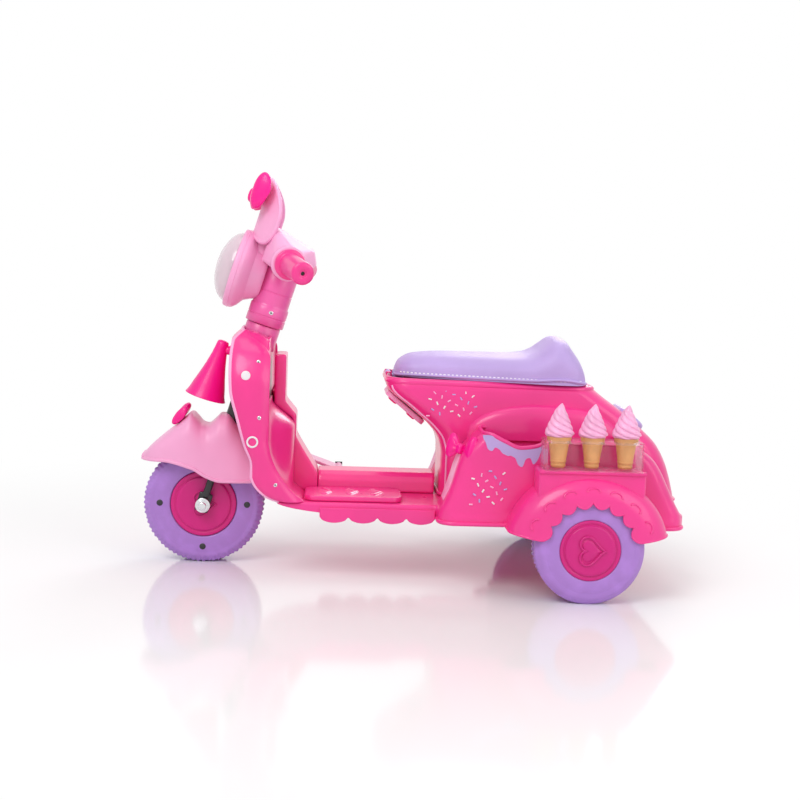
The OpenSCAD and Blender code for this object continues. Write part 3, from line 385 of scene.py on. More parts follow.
def settle(obj, node, material, instead):
    """Gives a piece its look, lets it ride with a node's body and, where asked, show in the node's place."""
    obj.data.materials.clear()
    obj.data.materials.append(look(material))
    obj.data.shade_smooth()
    obj.data.set_sharp_from_angle(angle=radians(48))
    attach(obj, BODY_OF[node])
    if instead:
        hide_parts(node)
    return obj


def linked(name, data):
    """A new object with that data, in the scene."""
    obj = bpy.data.objects.new(name, data)
    bpy.context.scene.collection.objects.link(obj)
    return obj


def as_mesh(obj):
    """A new mesh of what the object shows with its modifiers."""
    bpy.context.view_layer.update()
    return bpy.data.meshes.new_from_object(obj.evaluated_get(bpy.context.evaluated_depsgraph_get()))


def flattened(obj):
    """The object with its modifiers applied."""
    mesh, old = as_mesh(obj), obj.data
    obj.modifiers.clear()
    obj.data = mesh
    bpy.data.meshes.remove(old)
    return obj


def piece(name, shape, node, material, instead=False, place=None, edge=0.0, solid=0.0):
    """A new piece from (points, faces), thickened and edge-rounded as asked."""
    points, faces = shape
    mesh = bpy.data.meshes.new(name)
    mesh.from_pydata([Vector(p) * MM for p in points], [], faces)
    if place is not None:
        flat = place.copy()
        flat.translation *= MM
        mesh.transform(flat)
        if flat.determinant() < 0:
            mesh.flip_normals()
    obj = linked(name, mesh)
    tidy = bmesh.new()
    tidy.from_mesh(mesh)
    bmesh.ops.remove_doubles(tidy, verts=tidy.verts, dist=1e-6)
    bmesh.ops.recalc_face_normals(tidy, faces=tidy.faces)
    tidy.to_mesh(mesh)
    tidy.free()
    if solid:
        thick = obj.modifiers.new("wall", "SOLIDIFY")
        thick.thickness, thick.offset, thick.use_even_offset = solid * MM, -1, True
    if edge:
        bevel = obj.modifiers.new("edge", "BEVEL")
        bevel.width, bevel.segments, bevel.limit_method = edge * MM, 3, "ANGLE"
        bevel.angle_limit, bevel.use_clamp_overlap = radians(32), True
    if solid or edge:
        flattened(obj)
    return settle(obj, node, material, instead)


def grid(rows, close_rows=False, close_columns=False, caps=False):
    """Quads over rows of points; each way may close on itself, and open ends may be capped."""
    m, n = len(rows), len(rows[0])
    points = [p for row in rows for p in row]
    faces = [
        (i * n + j, i * n + (j + 1) % n, (i + 1) % m * n + (j + 1) % n, (i + 1) % m * n + j)
        for i in range(m if close_rows else m - 1) for j in range(n if close_columns else n - 1)
    ]
    if caps:
        faces += [tuple(range(n - 1, -1, -1)), tuple((m - 1) * n + j for j in range(n))]
    return points, faces


def surface(m, n, point, ring=False):
    """Rows of points over a patch: point(u, v) at m steps of u and n of v, or n points round a ring."""
    return [[point(i / m, j / n) for j in range(n if ring else n + 1)] for i in range(m + 1)]


def loft(name, rows, node, material, instead=False, place=None, edge=0.0):
    """A solid piece through a row of rings."""
    return piece(name, grid(rows, close_columns=True, caps=True), node, material, instead, place, edge)


def turned(profile, steps=96, wave=None):
    """Turns a profile of (radius, height) about Z; wave(k, angle) may shift the radius of its k-th point."""
    rows = []
    for i in range(steps):
        a = TURN * i / steps
        radii = [max(0.0, r + (wave(k, a) if wave else 0.0)) for k, (r, _) in enumerate(profile)]
        rows.append([(q * cos(a), q * sin(a), p[1]) for q, p in zip(radii, profile)])
    return grid(rows, close_rows=True)


def lathe(name, profile, steps, node, material, instead=False, place=None, edge=0.0):
    """A piece turned from a profile."""
    return piece(name, turned(profile, steps), node, material, instead, place, edge)


def circle(radius, height, steps):
    """Points round the Z axis."""
    angles = [TURN * i / steps for i in range(steps)]
    return [(radius * cos(a), radius * sin(a), height) for a in angles]


def plan_ring(x0, x1, y0, y1, r, z, steps=10):
    """Rounded rectangle seen from above."""
    ring = []
    for c in range(4):
        cx = x0 + r if c in (0, 3) else x1 - r
        cy = y0 + r if c < 2 else y1 - r
        for s in range(steps):
            a = pi + c * pi / 2 + s * pi / 2 / (steps - 1)
            ring.append((cx + r * cos(a), cy + r * sin(a), z))
    return ring


def moved(points, x, y=0.0):
    """The points, moved along and across."""
    return [Vector(p) + Vector((x, y, 0)) for p in points]


def edge_loop(rows):
    """What lies around the edge of a grid, in order."""
    return rows[0] + [row[-1] for row in rows[1:]] + rows[-1][-2::-1] + [row[0] for row in rows[-2:0:-1]]


def sheet(front, back):
    """A thick sheet between two grids of points."""
    m, n = len(front), len(front[0])
    points, faces = grid(front)
    k = len(points)
    faces += [(a + k, d + k, c + k, b + k) for a, b, c, d in faces]
    loop = edge_loop([list(range(i * n, i * n + n)) for i in range(m)])
    faces += [(a, a + k, b + k, b) for a, b in zip(loop, loop[1:] + loop[:1])]
    return points + [p for row in back for p in row], faces


def power(value, exponent):
    """A power that keeps the sign of its base."""
    return copysign(abs(value) ** exponent, value)


def ease(t):
    """0 below 0 and 1 above 1, smooth between them."""
    s = min(1.0, max(0.0, t))
    return s * s * (3 - 2 * s)


def soft_larger(a, b, reach):
    """The larger of two values, rounded where they cross."""
    h = max(reach - abs(a - b), 0.0) / reach
    return max(a, b) + h * h * reach / 4


def curve(table):
    """Smooth function through (place, value) pairs that doesn't overshoot them."""
    xs, ys = [t[0] for t in table], [t[1] for t in table]
    slopes = [(ys[i + 1] - ys[i]) / (xs[i + 1] - xs[i]) for i in range(len(xs) - 1)]
    rates = [slopes[0]]
    for a, b in zip(slopes, slopes[1:]):
        rates.append(0.0 if a * b <= 0 else 2 * a * b / (a + b))
    rates.append(slopes[-1])

    def value(x):
        x = min(max(x, xs[0]), xs[-1])
        i = next(k for k in range(len(slopes)) if x <= xs[k + 1])
        h = xs[i + 1] - xs[i]
        t = (x - xs[i]) / h
        return (
            ys[i] * (1 + 2 * t) * (1 - t) ** 2 + ys[i + 1] * t * t * (3 - 2 * t)
            + h * t * (1 - t) * (rates[i] * (1 - t) - rates[i + 1] * t)
        )

    return value


def tube(name, path, radius, node, material, closed=False, place=None):
    """A round bead along a path of points."""
    return tubes(name, [path], radius, node, material, closed, place)


def tubes(name, paths, radius, node, material, closed=False, place=None):
    """Round beads along several paths, as one piece."""
    line = bpy.data.curves.new(name, "CURVE")
    line.dimensions, line.use_fill_caps = "3D", True
    line.bevel_depth, line.bevel_resolution = radius * MM, 4
    for path in paths:
        spline = line.splines.new("POLY")
        spline.points.add(len(path) - 1)
        for target, p in zip(spline.points, path):
            target.co = (*((place @ Vector(p) if place else Vector(p)) * MM), 1)
        spline.use_cyclic_u = closed
    drawn = linked(name, line)
    mesh = as_mesh(drawn)
    bpy.data.objects.remove(drawn)
    bpy.data.curves.remove(line)
    return settle(linked(name, mesh), node, material, False)


def moulded(node, material, grain=1.0, passes=6, keep=0.5):
    """The node's own solid with its corners rounded over, as a moulding has them."""
    obj = linked("moulded_" + node, frame["nodes"][node].data.copy())
    skin = obj.modifiers.new("skin", "REMESH")
    skin.mode, skin.voxel_size, skin.use_smooth_shade = "VOXEL", sizes().voxel * grain, True
    soft = obj.modifiers.new("soft", "SMOOTH")
    soft.factor, soft.iterations = 0.5, passes
    obj.modifiers.new("thin", "DECIMATE").ratio = keep
    return settle(flattened(obj), node, material, True)


def dress(node, material):
    """Gives a CAD node that stays a worked-out look."""
    obj = frame["nodes"][node]
    obj.data.materials.clear()
    obj.data.materials.append(look(material))


def screw(name, centre, outward, node, radius=4.2):
    """A sunk cross-head screw whose head faces outward."""
    place = aimed(centre, outward)
    head = [(0, 0.2), (radius * 0.5, 0.15), (radius * 0.82, -0.1), (radius, -0.6), (radius, -1.6), (0, -1.6)]
    lathe(name, head, 32, node, "chrome", place=place, edge=0.15)
    reach = radius * 0.4
    # The cross slots are dark beads on the head: painted shade standing in for the recess.
    slots = [[(-reach, -q, 0.12), (reach, q, 0.12)] for q in (reach, -reach)]
    tubes(name + "_slots", slots, radius * 0.11, node, "dark", place=place)


# Wheels

LUGS = 72
LUG_DEPTH = 1.7
HUB_SINK = 8
HUB_FACE = 9.5
PLUG_RING = 69


def heart(name, size, rise, node, place):
    """A raised heart whose point lies along +X: a round outline with a low pillow inside it."""
    outline = []
    for q in (TURN * i / 72 for i in range(72)):
        along = 13 * cos(q) - 5 * cos(2 * q) - 2 * cos(3 * q) - cos(4 * q)
        outline.append((-size / 17 * along, size / 17 * 16 * sin(q) ** 3))
    tube(name + "_outline", [(x, y, rise * 0.5) for x, y in outline], rise * 0.75, node, "hub", True, place)
    rows = []
    for k in (0.78, 0.75, 0.66, 0.5, 0.3, 0.1, 0.0):
        z = rise * 0.9 * sqrt(max(0.0, 1 - (k / 0.78) ** 2.4))
        rows.append([(x * k, y * k, z) for x, y in outline])
    piece(name + "_pillow", grid(rows, close_columns=True), node, "hub", place=place)


def tread(radius, half, seat, sink):
    """Profile of a tyre across its width, and which of its points carry the lugs."""
    side = [
        (5.2, half - sink), (seat, half - sink), (seat, half - 2.2), (seat + 0.7, half - 0.8),
        (seat + 2.4, half), (radius - 20, half), (radius - 17, half - 0.9), (radius - 15, half - 0.9),
        (radius - 11, half - 0.1), (radius - 7, half - 1.6), (radius - 4, half - 4.2),
    ]
    shoulder = [
        (radius - 1.2, half - 6.2), (radius, half - 8), (radius, half - 14.2), (radius - 1, half - 15.6),
    ]
    crown = [(radius - 3, half - 16.4), (radius - 3.4, 4.6), (radius - 5, 3.4), (radius - 5, 0)]
    first = side + shoulder + crown
    profile = first + [(r, -h) for r, h in reversed(first[:-1])]
    lugs = set(range(len(side) - 2, len(side) + len(shoulder)))
    return profile, lugs, {len(profile) - 1 - k for k in lugs}


def half_size(node):
    """Half of a node's width and half of its height."""
    half = (high(node) - low(node)) / 2
    return half.y, half.z


def tyre(node, centre, side, smooth_face):
    """A tyre with a serrated tread; a smooth face has its serrations on the inner shoulder alone."""
    half, radius = half_size(node)
    profile, outside, inside = tread(radius, half, 0.555 * radius, HUB_SINK)
    lugs = inside if smooth_face else outside | inside

    def lug(k, angle):
        return -LUG_DEPTH if k in lugs and angle * LUGS / TURN % 1 > 0.49 else 0.0

    piece("tread_" + node, turned(profile, LUGS * 4, lug), node, "tyre", True, sideways(centre, side))


def hub_profile(r, bore):
    """Stepped disc: a flat rim, a groove and a raised middle."""
    return [
        (bore, 0), (r, 0), (r, 6.6), (r - 0.5, 7.6), (r - 1.6, 8), (r * 0.9, 8), (r * 0.885, 7.4),
        (r * 0.865, 7.1), (r * 0.845, 7.5), (r * 0.835, 9), (r * 0.81, 10), (r * 0.77, 10.4),
        (r * 0.72, 10.3), (r * 0.6, 9.8), (r * 0.5, HUB_FACE), (r * 0.3, HUB_FACE), (bore, HUB_FACE),
    ]


class BuildWheels(bpy.types.Operator):
    """Builds the tyres, hub discs, hearts and plugs"""

    bl_idname = "tricycle.build_wheels"
    bl_label = "Wheels"

    def execute(self, context):
        node, centre = "front_tyre", middle("front_tyre")
        tyre(node, centre, -1, False)
        half, radius = half_size(node)
        hub_r = 0.547 * radius
        plug = [(0, 1.3), (3.2, 1.2), (4.2, 0.9), (5, 0.2), (5, -0.8), (0, -0.8)]
        for label, side in SIDES:
            place, first = sideways(centre, side) @ at(0, 0, half - HUB_SINK), side < 0
            lathe(f"front_hub_{label}", hub_profile(hub_r, 5.6), 96, "front_hubs", "hub", first, place)
            heart(f"front_heart_{label}", hub_r * 0.4, 1.5, "front_hubs", place @ at(0, 0, HUB_FACE))
            for i in range(4):
                spot = place @ spin(i * TURN / 4, "Z") @ at(PLUG_RING, 0, HUB_SINK)
                lathe(f"plug_{label}_{i + 1}", plug, 28, "front_plugs", "dark", i == 0 and first, spot)
        for label, side in SIDES:
            node, cap = f"rear_{label}_tyre", f"rear_{label}_hubcap"
            tyre(node, middle(node), side, True)
            place = sideways(middle(node), side) @ at(0, 0, half_size(node)[0] - HUB_SINK)
            hub_r = half_size(cap)[1]
            lathe(f"cap_{label}", hub_profile(hub_r, 0), 96, cap, "hub", True, place)
            heart(f"rear_heart_{label}", hub_r * 0.5, 2.2, cap, place @ at(0, 0, HUB_FACE))
        return {"FINISHED"}


# Steering: fender, column, handlebar and headlight

FENDER_TOP = curve([
    (0, 0.34), (0.05, 0.44), (0.15, 0.6), (0.29, 0.8), (0.38, 0.94), (0.43, 1), (0.48, 0.93), (0.53, 0.84),
    (0.58, 0.82), (0.64, 0.9), (0.7, 0.99), (0.75, 0.99), (0.85, 0.8), (0.93, 0.64), (1, 0.5),
])
FENDER_EDGE = curve([(0, 0.28), (0.19, 0.29), (0.46, 0.19), (0.6, 0.06), (0.73, 0), (1, 0)])
FENDER_WIDTH = curve([(0, 0.42), (0.08, 0.72), (0.2, 0.9), (0.43, 1), (0.85, 1), (1, 0.92)])
BOW_HEIGHT = curve([
    (0, 0.3), (0.1, 0.27), (0.2, 0.26), (0.45, 0.72), (0.66, 0.98), (0.8, 0.97), (0.92, 0.76), (1, 0.3),
])
BOW_DEPTH = curve([(0, 0.7), (0.1, 0.62), (0.2, 0.56), (0.5, 0.86), (0.8, 0.95), (0.93, 0.74), (1, 0.3)])
PERCH_ROW, PERCH_COLUMN, PERCH_TILT = 23, 28, radians(38)
SCREEN_X, SCREEN_Z = -62, 458


def fender_rows(inset):
    """Skin of the front fender, from its tip back."""
    lo, hi = BOXES["front_fender"]
    size = hi - lo

    def point(t, v):
        a = pi * (v - 0.5)
        edge, top = lo.z + FENDER_EDGE(t) * size.z, lo.z + FENDER_TOP(t) * size.z - inset
        y = (FENDER_WIDTH(t) * hi.y - inset) * power(sin(a), 0.55)
        return lo.x + t * size.x + (1 - 2 * t) * inset, y, edge + (top - edge) * power(cos(a), 0.55)

    return surface(64, 56, point)


def bow(name, node, half, height, depth, place, lift=0.25, sweep=0.0):
    """A ribbon bow: two puffed loops with folds that gather at a knot."""

    def loops(u, v):
        y, a = 2 * u - 1, TURN * v
        out = abs(y)
        gather = exp(-((out - 0.26) / 0.3) ** 2)
        fold = 1 - gather * 0.1 * (1 + cos(7 * a)) - 0.025 * (1 + cos(4 * a)) * out
        rise = height * (BOW_HEIGHT(out) * sin(a) * fold + lift * (out ** 1.3 - 0.5))
        return sweep * y * y - depth * BOW_DEPTH(out) * (1 + cos(a) * fold) / 2, y * half, rise

    def knot(u, v):
        b, a = pi * (u - 0.5), TURN * v
        swell = power(cos(b), 0.6)
        pinch = 1 - 0.1 * exp(-(sin(a) / 0.3) ** 2) * cos(b)
        x = depth / 2 * (swell * power(cos(a), 0.7) * pinch - 1)
        return x, half * 0.2 * swell * power(sin(a), 0.7), height * (0.4 * power(sin(b), 0.8) - lift / 2)

    loft(name, surface(80, 72, loops, True), node, "bow", True, place)
    piece(name + "_knot", grid(surface(24, 40, knot, True), close_columns=True), node, "bow", place=place)


def screen_rows(shift):
    """The fly screen's skin, moved back by a shift."""

    def point(u, v):
        k = 0.995 * sin(pi * (v - 0.5))
        base = SCREEN_Z - (24 + 20 * abs(k)) * sqrt(1 - k**6)
        top = SCREEN_Z + 61 * (1 - k * k) ** 0.45
        return STEERING @ Vector((SCREEN_X + 32 * k * k + shift, 60 * k, base + (top - base) * u))

    return surface(32, 60, point)


class BuildSteering(bpy.types.Operator):
    """Builds the front fender, bows, column, grips, headset cover, headlight and fly screen"""

    bl_idname = "tricycle.build_steering"
    bl_label = "Steering"

    def execute(self, context):
        bead = sizes().bead / MM
        outer = fender_rows(0)
        piece("fender_shell", sheet(outer, fender_rows(3)), "front_fender", "pale", True)
        tube("fender_bead", edge_loop(fender_rows(1)), bead + 0.8, "front_fender", "pale", True)
        lo, hi = BOXES["fender_bow"]
        perch = at(outer[PERCH_ROW][PERCH_COLUMN]) @ spin(PERCH_TILT, "Y")
        bow("fender_bow_ribbon", "fender_bow", hi.y, (hi.x - lo.x) / 2, hi.z - lo.z, perch)

        column = [
            (12.1, 300.2), (30.2, 300.2), (31, 301), (31, 313), (30.3, 313.6), (30.3, 314.6),
            (31, 315.2), (31, 329), (30.3, 330.2), (29.2, 331.5), (28.9, 334), (28.9, 352),
            (28.3, 352.5), (28.3, 353.5), (28.9, 354), (28.9, 393), (28, 394), (24, 394), (24, 316),
            (12.1, 316),
        ]
        lathe("column_shell", column, 96, "column_cover", "rose", True, STEERING)
        for label, side in SIDES:
            spot = STEERING @ Vector((6, side * 30.4, 322))
            screw(f"column_screw_{label}", spot, STEERING.to_3x3() @ Vector((0.2, side, 0)), "column_cover")
        neck = [(16.2, 262), (27, 262), (27.6, 263), (27.6, 298), (26.6, 299.4), (16.2, 299.4)]
        lathe("neck_sleeve", neck, 96, "head_tube", "rose", place=STEERING)
        moulded("headset_cover", "pale", 0.9, 40)
        grip = [
            (9.1, 38), (21.5, 38), (23, 38.7), (23.5, 40), (23.5, 44.4), (23, 45.6), (21.5, 46.2),
            (18.6, 46.8), (17.6, 48.5), (17.4, 52), (17.4, 127), (17, 129.6), (15.8, 131.6),
            (13.4, 132.7), (11, 133), (6.4, 133), (5.8, 132.6), (5.4, 131.8), (4, 131.6), (3.2, 131.2),
            (3, 130), (3, 127.4), (9.1, 127.4),
        ]
        collar = [(9.2, 22), (25, 22), (26.6, 25), (27, 34), (26.4, 36.4), (25, 37.4), (9.2, 37.4)]
        for label, side in SIDES:
            bar = STEERING @ aimed((0, side * 58, 407), (0.273, side * 0.9607, -0.0505))
            lathe(f"grip_sleeve_{label}", grip, 112, f"grip_{label}", "body", True, bar)
            lathe(f"grip_collar_{label}", collar, 80, "headset_cover", "pale", place=bar)

        lamp, node = STEERING @ aimed((-70, 0, 371), (-1, 0, 0)), "headlight_housing"
        house = [
            (0, -32), (34, -32), (38, -31.4), (47, -25), (56, -18.6), (61, -13), (62.6, -10), (63, -2),
            (62.6, 0.8), (61.4, 2.2), (59.6, 2.6), (57.8, 2.2), (57, 0.8), (56.8, -6), (48, -6),
            (34, -28), (0, -28),
        ]
        lathe("lamp_house", house, 112, node, "pale", True, lamp)
        neck = [(0, -48), (31, -48), (34, -47), (37, -43), (41, -34), (46, -25), (0, -25)]
        lathe("lamp_neck", neck, 96, node, "pale", place=lamp)
        tube("lamp_band", circle(62.7, -5.4, 96), 0.9, node, "pale", True, lamp)
        dome = [(56.4 * sin(q * pi / 44), 31 * cos(q * pi / 44)) for q in range(23)]
        dome += [(56.4, -5.6), (50, -5.6), (50, 0)]
        lathe("lamp_dome", dome, 112, "headlight_lens", "lens", True, lamp)

        piece("screen_plate", sheet(screen_rows(0), screen_rows(6)), "fly_screen", "pale", True)
        tube("screen_bead", edge_loop(screen_rows(3)), bead + 1.4, "fly_screen", "pale", True)
        foot = [(9, 398), (3, 401), (0, 406), (0, 430), (2, 436), (8, 440)]
        rows = [plan_ring(-50 + q, -4 - q, -27 + q, 27 - q, 11 - q, z, 12) for q, z in foot]
        loft("screen_foot", rows, "fly_screen", "pale", place=STEERING)
        bow("lamp_bow", "headlight_bow", 56, 31, 26, STEERING @ at(-62.4, 0, 494), 0.45, 9)
        moulded("fork", "black", 0.9, 8)
        for node, material in (("front_axle", "chrome"), ("axle_nuts", "chrome"), ("handlebar", "black")):
            dress(node, material)
        cap = [(0, 1.1), (2.6, 1.1), (2.9, 1.8), (4.6, 1.6), (6.2, 0.6), (6.6, -1.2), (0, -1.2)]
        washer = [(6, -6.8), (11, -6.8), (11.6, -6.2), (11.6, -5.4), (11, -4.9), (6, -4.9)]
        for label, side in SIDES:
            end = sideways((FRONT_AXLE.x, side * high("axle_nuts").y, FRONT_AXLE.z), side)
            lathe(f"axle_cap_{label}", cap, 40, "axle_nuts", "chrome", place=end)
            lathe(f"axle_washer_{label}", washer, 48, "axle_nuts", "chrome", place=end)
        return {"FINISHED"}


# Leg shield

SHIELD_FRONT = curve([
    (0, 0), (0.03, 0.11), (0.09, 0.25), (0.22, 0.24), (0.34, 0.44), (0.5, 0.66), (0.67, 0.86), (0.82, 0.89),
    (0.94, 0.86), (1, 0.6),
])
SHIELD_WIDTH = curve([(0, 0.92), (0.15, 0.97), (0.3, 1), (0.7, 0.97), (0.86, 0.86), (0.95, 0.7), (1, 0.55)])
SHIELD_FOOT = curve([
    (122, -203), (127, -219), (136, -232), (148, -242), (160, -247), (180, -254), (200, -270),
])
SILL = curve([(-236, 131), (-222, 127), (-205, 118.5), (-185, 113), (-160, 109), (-143, 107), (-110, 100)])
TOE = curve([
    (0, 1), (0.05, 0.87), (0.11, 0.75), (0.22, 0.58), (0.36, 0.41), (0.56, 0.22), (0.8, 0.07), (1, 0),
])
TOE_TOP, TOE_PANEL_TOP = 214.0, 272.0
SHIELD_LOW, SHIELD_HIGH = BOXES["leg_shield"]
FOOT_TOP = 200
WELL_RADIUS, WHEEL_ROOM = 88, 103
LINER_X, LINER_GAP = -228, 5.5
SPINE_EDGE = 38.8
COLUMN_EDGE = 33
CROWN_FOOT, CROWN_END = 304, -225.5
HORN = Vector((-329, 0, 263))
STALK_RISE = 75


def shield_z(u):
    """Height at a share of the shield's own."""
    return SHIELD_LOW.z + (SHIELD_HIGH.z - SHIELD_LOW.z) * u


def share_up(z, top=SHIELD_HIGH.z):
    """Height above the shield's foot as a share of the way to a top."""
    return (z - SHIELD_LOW.z) / (top - SHIELD_LOW.z)


def shield_width(z):
    """Half width of the shield at a height."""
    return SHIELD_HIGH.y * SHIELD_WIDTH(share_up(z))


def steering_x(z):
    """Where the steering axis passes a height."""
    return FRONT_AXLE.x + (z - FRONT_AXLE.z) * tan(RAKE)


def well_back(y, z):
    """Rear wall of the well that the front wheel and its fender turn in; far ahead where there is none."""
    well = WELL_RADIUS * (1 - ease((z - 222) / 40))
    room = WHEEL_ROOM**2 - (z - FRONT_AXLE.z) ** 2
    walls = ((steering_x(z), well * well - y * y), (FRONT_AXLE.x, room - y * y))
    return max([-400.0] + [x + sqrt(square) for x, square in walls if square > 0])


def shield_front(y, z):
    """Front skin of the shield."""
    x = -233 - 6 * (1 - (y / shield_width(z)) ** 2) - 55 * SHIELD_FRONT(share_up(z))
    if z < FOOT_TOP:
        x = max(x, SHIELD_FOOT(z))
    return soft_larger(x, well_back(y, z), 10)


def shield_rows(shift):
    """The shield's front skin, moved back by a shift."""

    def point(u, v):
        z = shield_z(u)
        y = shield_width(z) * (2 * v - 1)
        return shield_front(y, z) + shift, y, z

    return surface(96, 120, point)


def tucked(z):
    """Height of the liner's outline where the shield's is at a height: the same but for its lower top."""
    return z - 13 * ease((z - 310) / 60)


def outward(z):
    """Direction across and up that faces out of the shield's outline at a height."""
    slope = (shield_width(z + 1) - shield_width(z - 1)) / 2
    return Vector((0, 1, -slope)).normalized()


def crown_rows(side, inset):
    """Ribbon from the shield's edge over to the liner's, up the side and along the top to the column."""
    top = SHIELD_HIGH.z
    width = shield_width(top) - COLUMN_EDGE
    heights = [CROWN_FOOT + (top - CROWN_FOOT) * i / 40 for i in range(41)]
    path = [(shield_width(z), z, outward(z)) for z in heights]
    path += [(COLUMN_EDGE + width * (1 - i / 14), top, Vector((0, 0, 1))) for i in range(1, 15)]
    rows = []
    for y, z, out in path:
        start, drop = shield_front(y, z) + 2, z - tucked(z)
        y, up = side * (y - (1.6 + inset) * out.y), z - (1.2 + inset) * out.z
        shares = [k / 12 for k in range(13)]
        rows.append([(start + (CROWN_END - start) * k, y, up - drop * k * k) for k in shares])
    return rows


def lined(y, z):
    """Front of the liner: flat, and behind the shield's own skin."""
    return max(LINER_X, shield_front(y, z) + LINER_GAP)


def liner_rows(shift):
    """The liner's skin with its bulge round the head tube, moved back by a shift."""

    def point(u, v):
        outline = shield_z(u)
        y, z = (shield_width(outline) - 6) * (2 * v - 1), tucked(outline)
        bulge = steering_x(z) + sqrt(17.4**2 - y * y) if abs(y) < 16.7 else LINER_X
        return max(lined(y, z), bulge) + shift, y, z

    return surface(72, 80, point)


def toe_back(z):
    """Rider's side of the sweep from the liner down to the floor."""
    return -221.6 + 55.6 * TOE(share_up(z, TOE_TOP))


def footwell(y, z, edge):
    """The footwell's skin: the sweep at its outer edge, rising over the wheel well beside the spine."""
    sweep = toe_back(z)
    hump = max(sweep, -222 + 38 * (1 - ease((z - 226) / 44)))
    share = ease(1.35 * (edge - abs(y)) / (edge - SPINE_EDGE))
    return soft_larger(sweep + (hump - sweep) * share, lined(y, z) + 6, 6)


def flank_point(side, z, k, sunk=0.0):
    """Point of a flank, k from 0 at its front edge to 1 at its rear one, which rounds over at the top."""
    width, out = shield_width(z), outward(z)
    start, stop = shield_front(width, z), toe_back(z) - 37 * ease((z - 330) / 48) ** 2
    swell = (7 - 4.5 * ease((z - 330) / 45)) * (1 - abs(2 * k - 1) ** 3) - 0.6 - sunk
    return Vector((start + (stop - start) * k, side * (width + swell * out.y), z + swell * out.z))


class BuildShield(bpy.types.Operator):
    """Builds the leg shield, its flanks and liner, the spine, the tunnel and the horn"""

    bl_idname = "tricycle.build_shield"
    bl_label = "Leg shield"

    def execute(self, context):
        front = shield_rows(0)
        piece("shield_shell", sheet(front, shield_rows(4)), "leg_shield", "body", True)
        rim = [row[0] for row in front] + front[-1] + [row[-1] for row in reversed(front)]
        # Pale bead along the shield's front rim: the light pink edge trim, drawn pale so that it also carries a
        # painted highlight along the rim.
        tube("shield_bead", moved(rim, 1.6), 2.6, "leg_shield", "pale")
        dot = [(0, 2.2), (5.5, 2.1), (6.6, 1.7), (7, 1), (7, -2), (0, -2)]
        for label, side in SIDES:
            outer = surface(96, 24, lambda u, k: flank_point(side, shield_z(u), k))
            inner = surface(96, 24, lambda u, k: flank_point(side, shield_z(u), k, 3.4))
            piece(f"shield_flank_{label}", sheet(outer, inner), "shield_flanks", "body", side < 0)
            lip = [flank_point(side, shield_z(i / 96), 1, 1.7) for i in range(97)]
            tube(f"flank_lip_{label}", moved(lip, -1.4), 2.4, "shield_flanks", "body")
            crown = sheet(crown_rows(side, 0), crown_rows(side, 2.4))
            piece(f"shield_crown_{label}", crown, "shield_flanks", "body")

            def toe(u, v):
                z = SHIELD_LOW.z + (TOE_PANEL_TOP - SHIELD_LOW.z) * u
                edge = shield_width(z) - 4
                y = SPINE_EDGE + (edge - SPINE_EDGE) * v
                return footwell(y, z, edge), side * y, z

            rows = surface(56, 36, toe)
            under = [moved(row, -2.6) for row in rows]
            piece(f"toe_panel_{label}", sheet(rows, under), "shield_flanks", "body")
            spots = [sideways(flank_point(side, z, k), side) for z, k in ((311, 0.42), (214, 0.4))]
            lathe(f"shield_dot_{label}", dot, 40, "leg_shield", "white", place=spots[0])
            tube(f"shield_ring_{label}", circle(7.5, 0, 48), 1.5, "leg_shield", "white", True, spots[1])
            for n, z in enumerate((150, 250, 330)):
                spot = flank_point(side, z, 0.72) + Vector((0, side * 0.3, 0))
                screw(f"shield_screw_{label}_{n + 1}", spot, (0, side, 0), "leg_shield", 3.2)
        inner = liner_rows(3)
        piece("liner_shell", sheet(inner, liner_rows(0)), "leg_shield_liner", "body", True)
        tube("liner_bead", moved(edge_loop(inner), -1), 2.2, "leg_shield_liner", "body", True)
        moulded("spine_cover", "body", 1.1, 10)
        moulded("tunnel_cover", "body", 1.1, 8)
        horn = [
            (0, 95), (5, 94.8), (8.2, 93.4), (9.4, 91), (10.2, 84), (12, 72), (16, 54), (21, 36),
            (26, 20), (29, 9), (31.4, 3), (32.6, 1), (33, 0), (32.2, -0.6), (31, 0), (28, 5), (25, 12),
            (19, 33), (13.5, 54), (9, 69), (0, 72),
        ]
        lathe("horn_bell", horn, 96, "horn_cone", "bow", True, at(HORN) @ spin(RAKE, "Y"))
        start = HORN + STALK_RISE * Vector((tan(RAKE), 0, 1))
        reach = shield_front(0, start.z) - start.x
        stalk = [(0, 0), (7, 0), (6.6, reach * 0.5), (7, reach - 5), (9.5, reach - 0.6), (0, reach)]
        lathe("horn_stalk", stalk, 40, "horn_cone", "bow", place=at(start) @ spin(TURN / 4, "Y"))
        dress("head_tube", "black")
        return {"FINISHED"}


# Floor

PAN_NOSE, SILL_END = -203, -110


class BuildFloor(bpy.types.Operator):
    """Builds the floor pan, foot pads, skirts and pedal, and dresses the running gear"""

    bl_idname = "tricycle.build_floor"
    bl_label = "Floor"

    def execute(self, context):
        pan = moulded("floor_pan", "body", 1.7, 6, 0.4)
        for v in pan.data.vertices:
            x, z = v.co.x / MM, v.co.z / MM
            if x < PAN_NOSE:
                x = PAN_NOSE + (x - PAN_NOSE) * 0.15
                v.co.x = x * MM
            if x < SILL_END:
                v.co.z = max(z, min(SILL(x), high("floor_pan").z - 0.5)) * MM
        moulded("foot_pads", "body", 0.8)
        moulded("scallop_skirts", "body", 0.6, 4, 0.4)
        moulded("pedal", "pale", 0.6, 5)
        for node, material in (
            ("pedal_mount", "black"), ("pedal_pin", "chrome"), ("axle_blocks", "black"),
            ("rear_axle", "chrome"), ("gearbox_motor", "dark"), ("battery", "dark"),
        ):
            dress(node, material)
        return {"FINISHED"}


# Seat pod

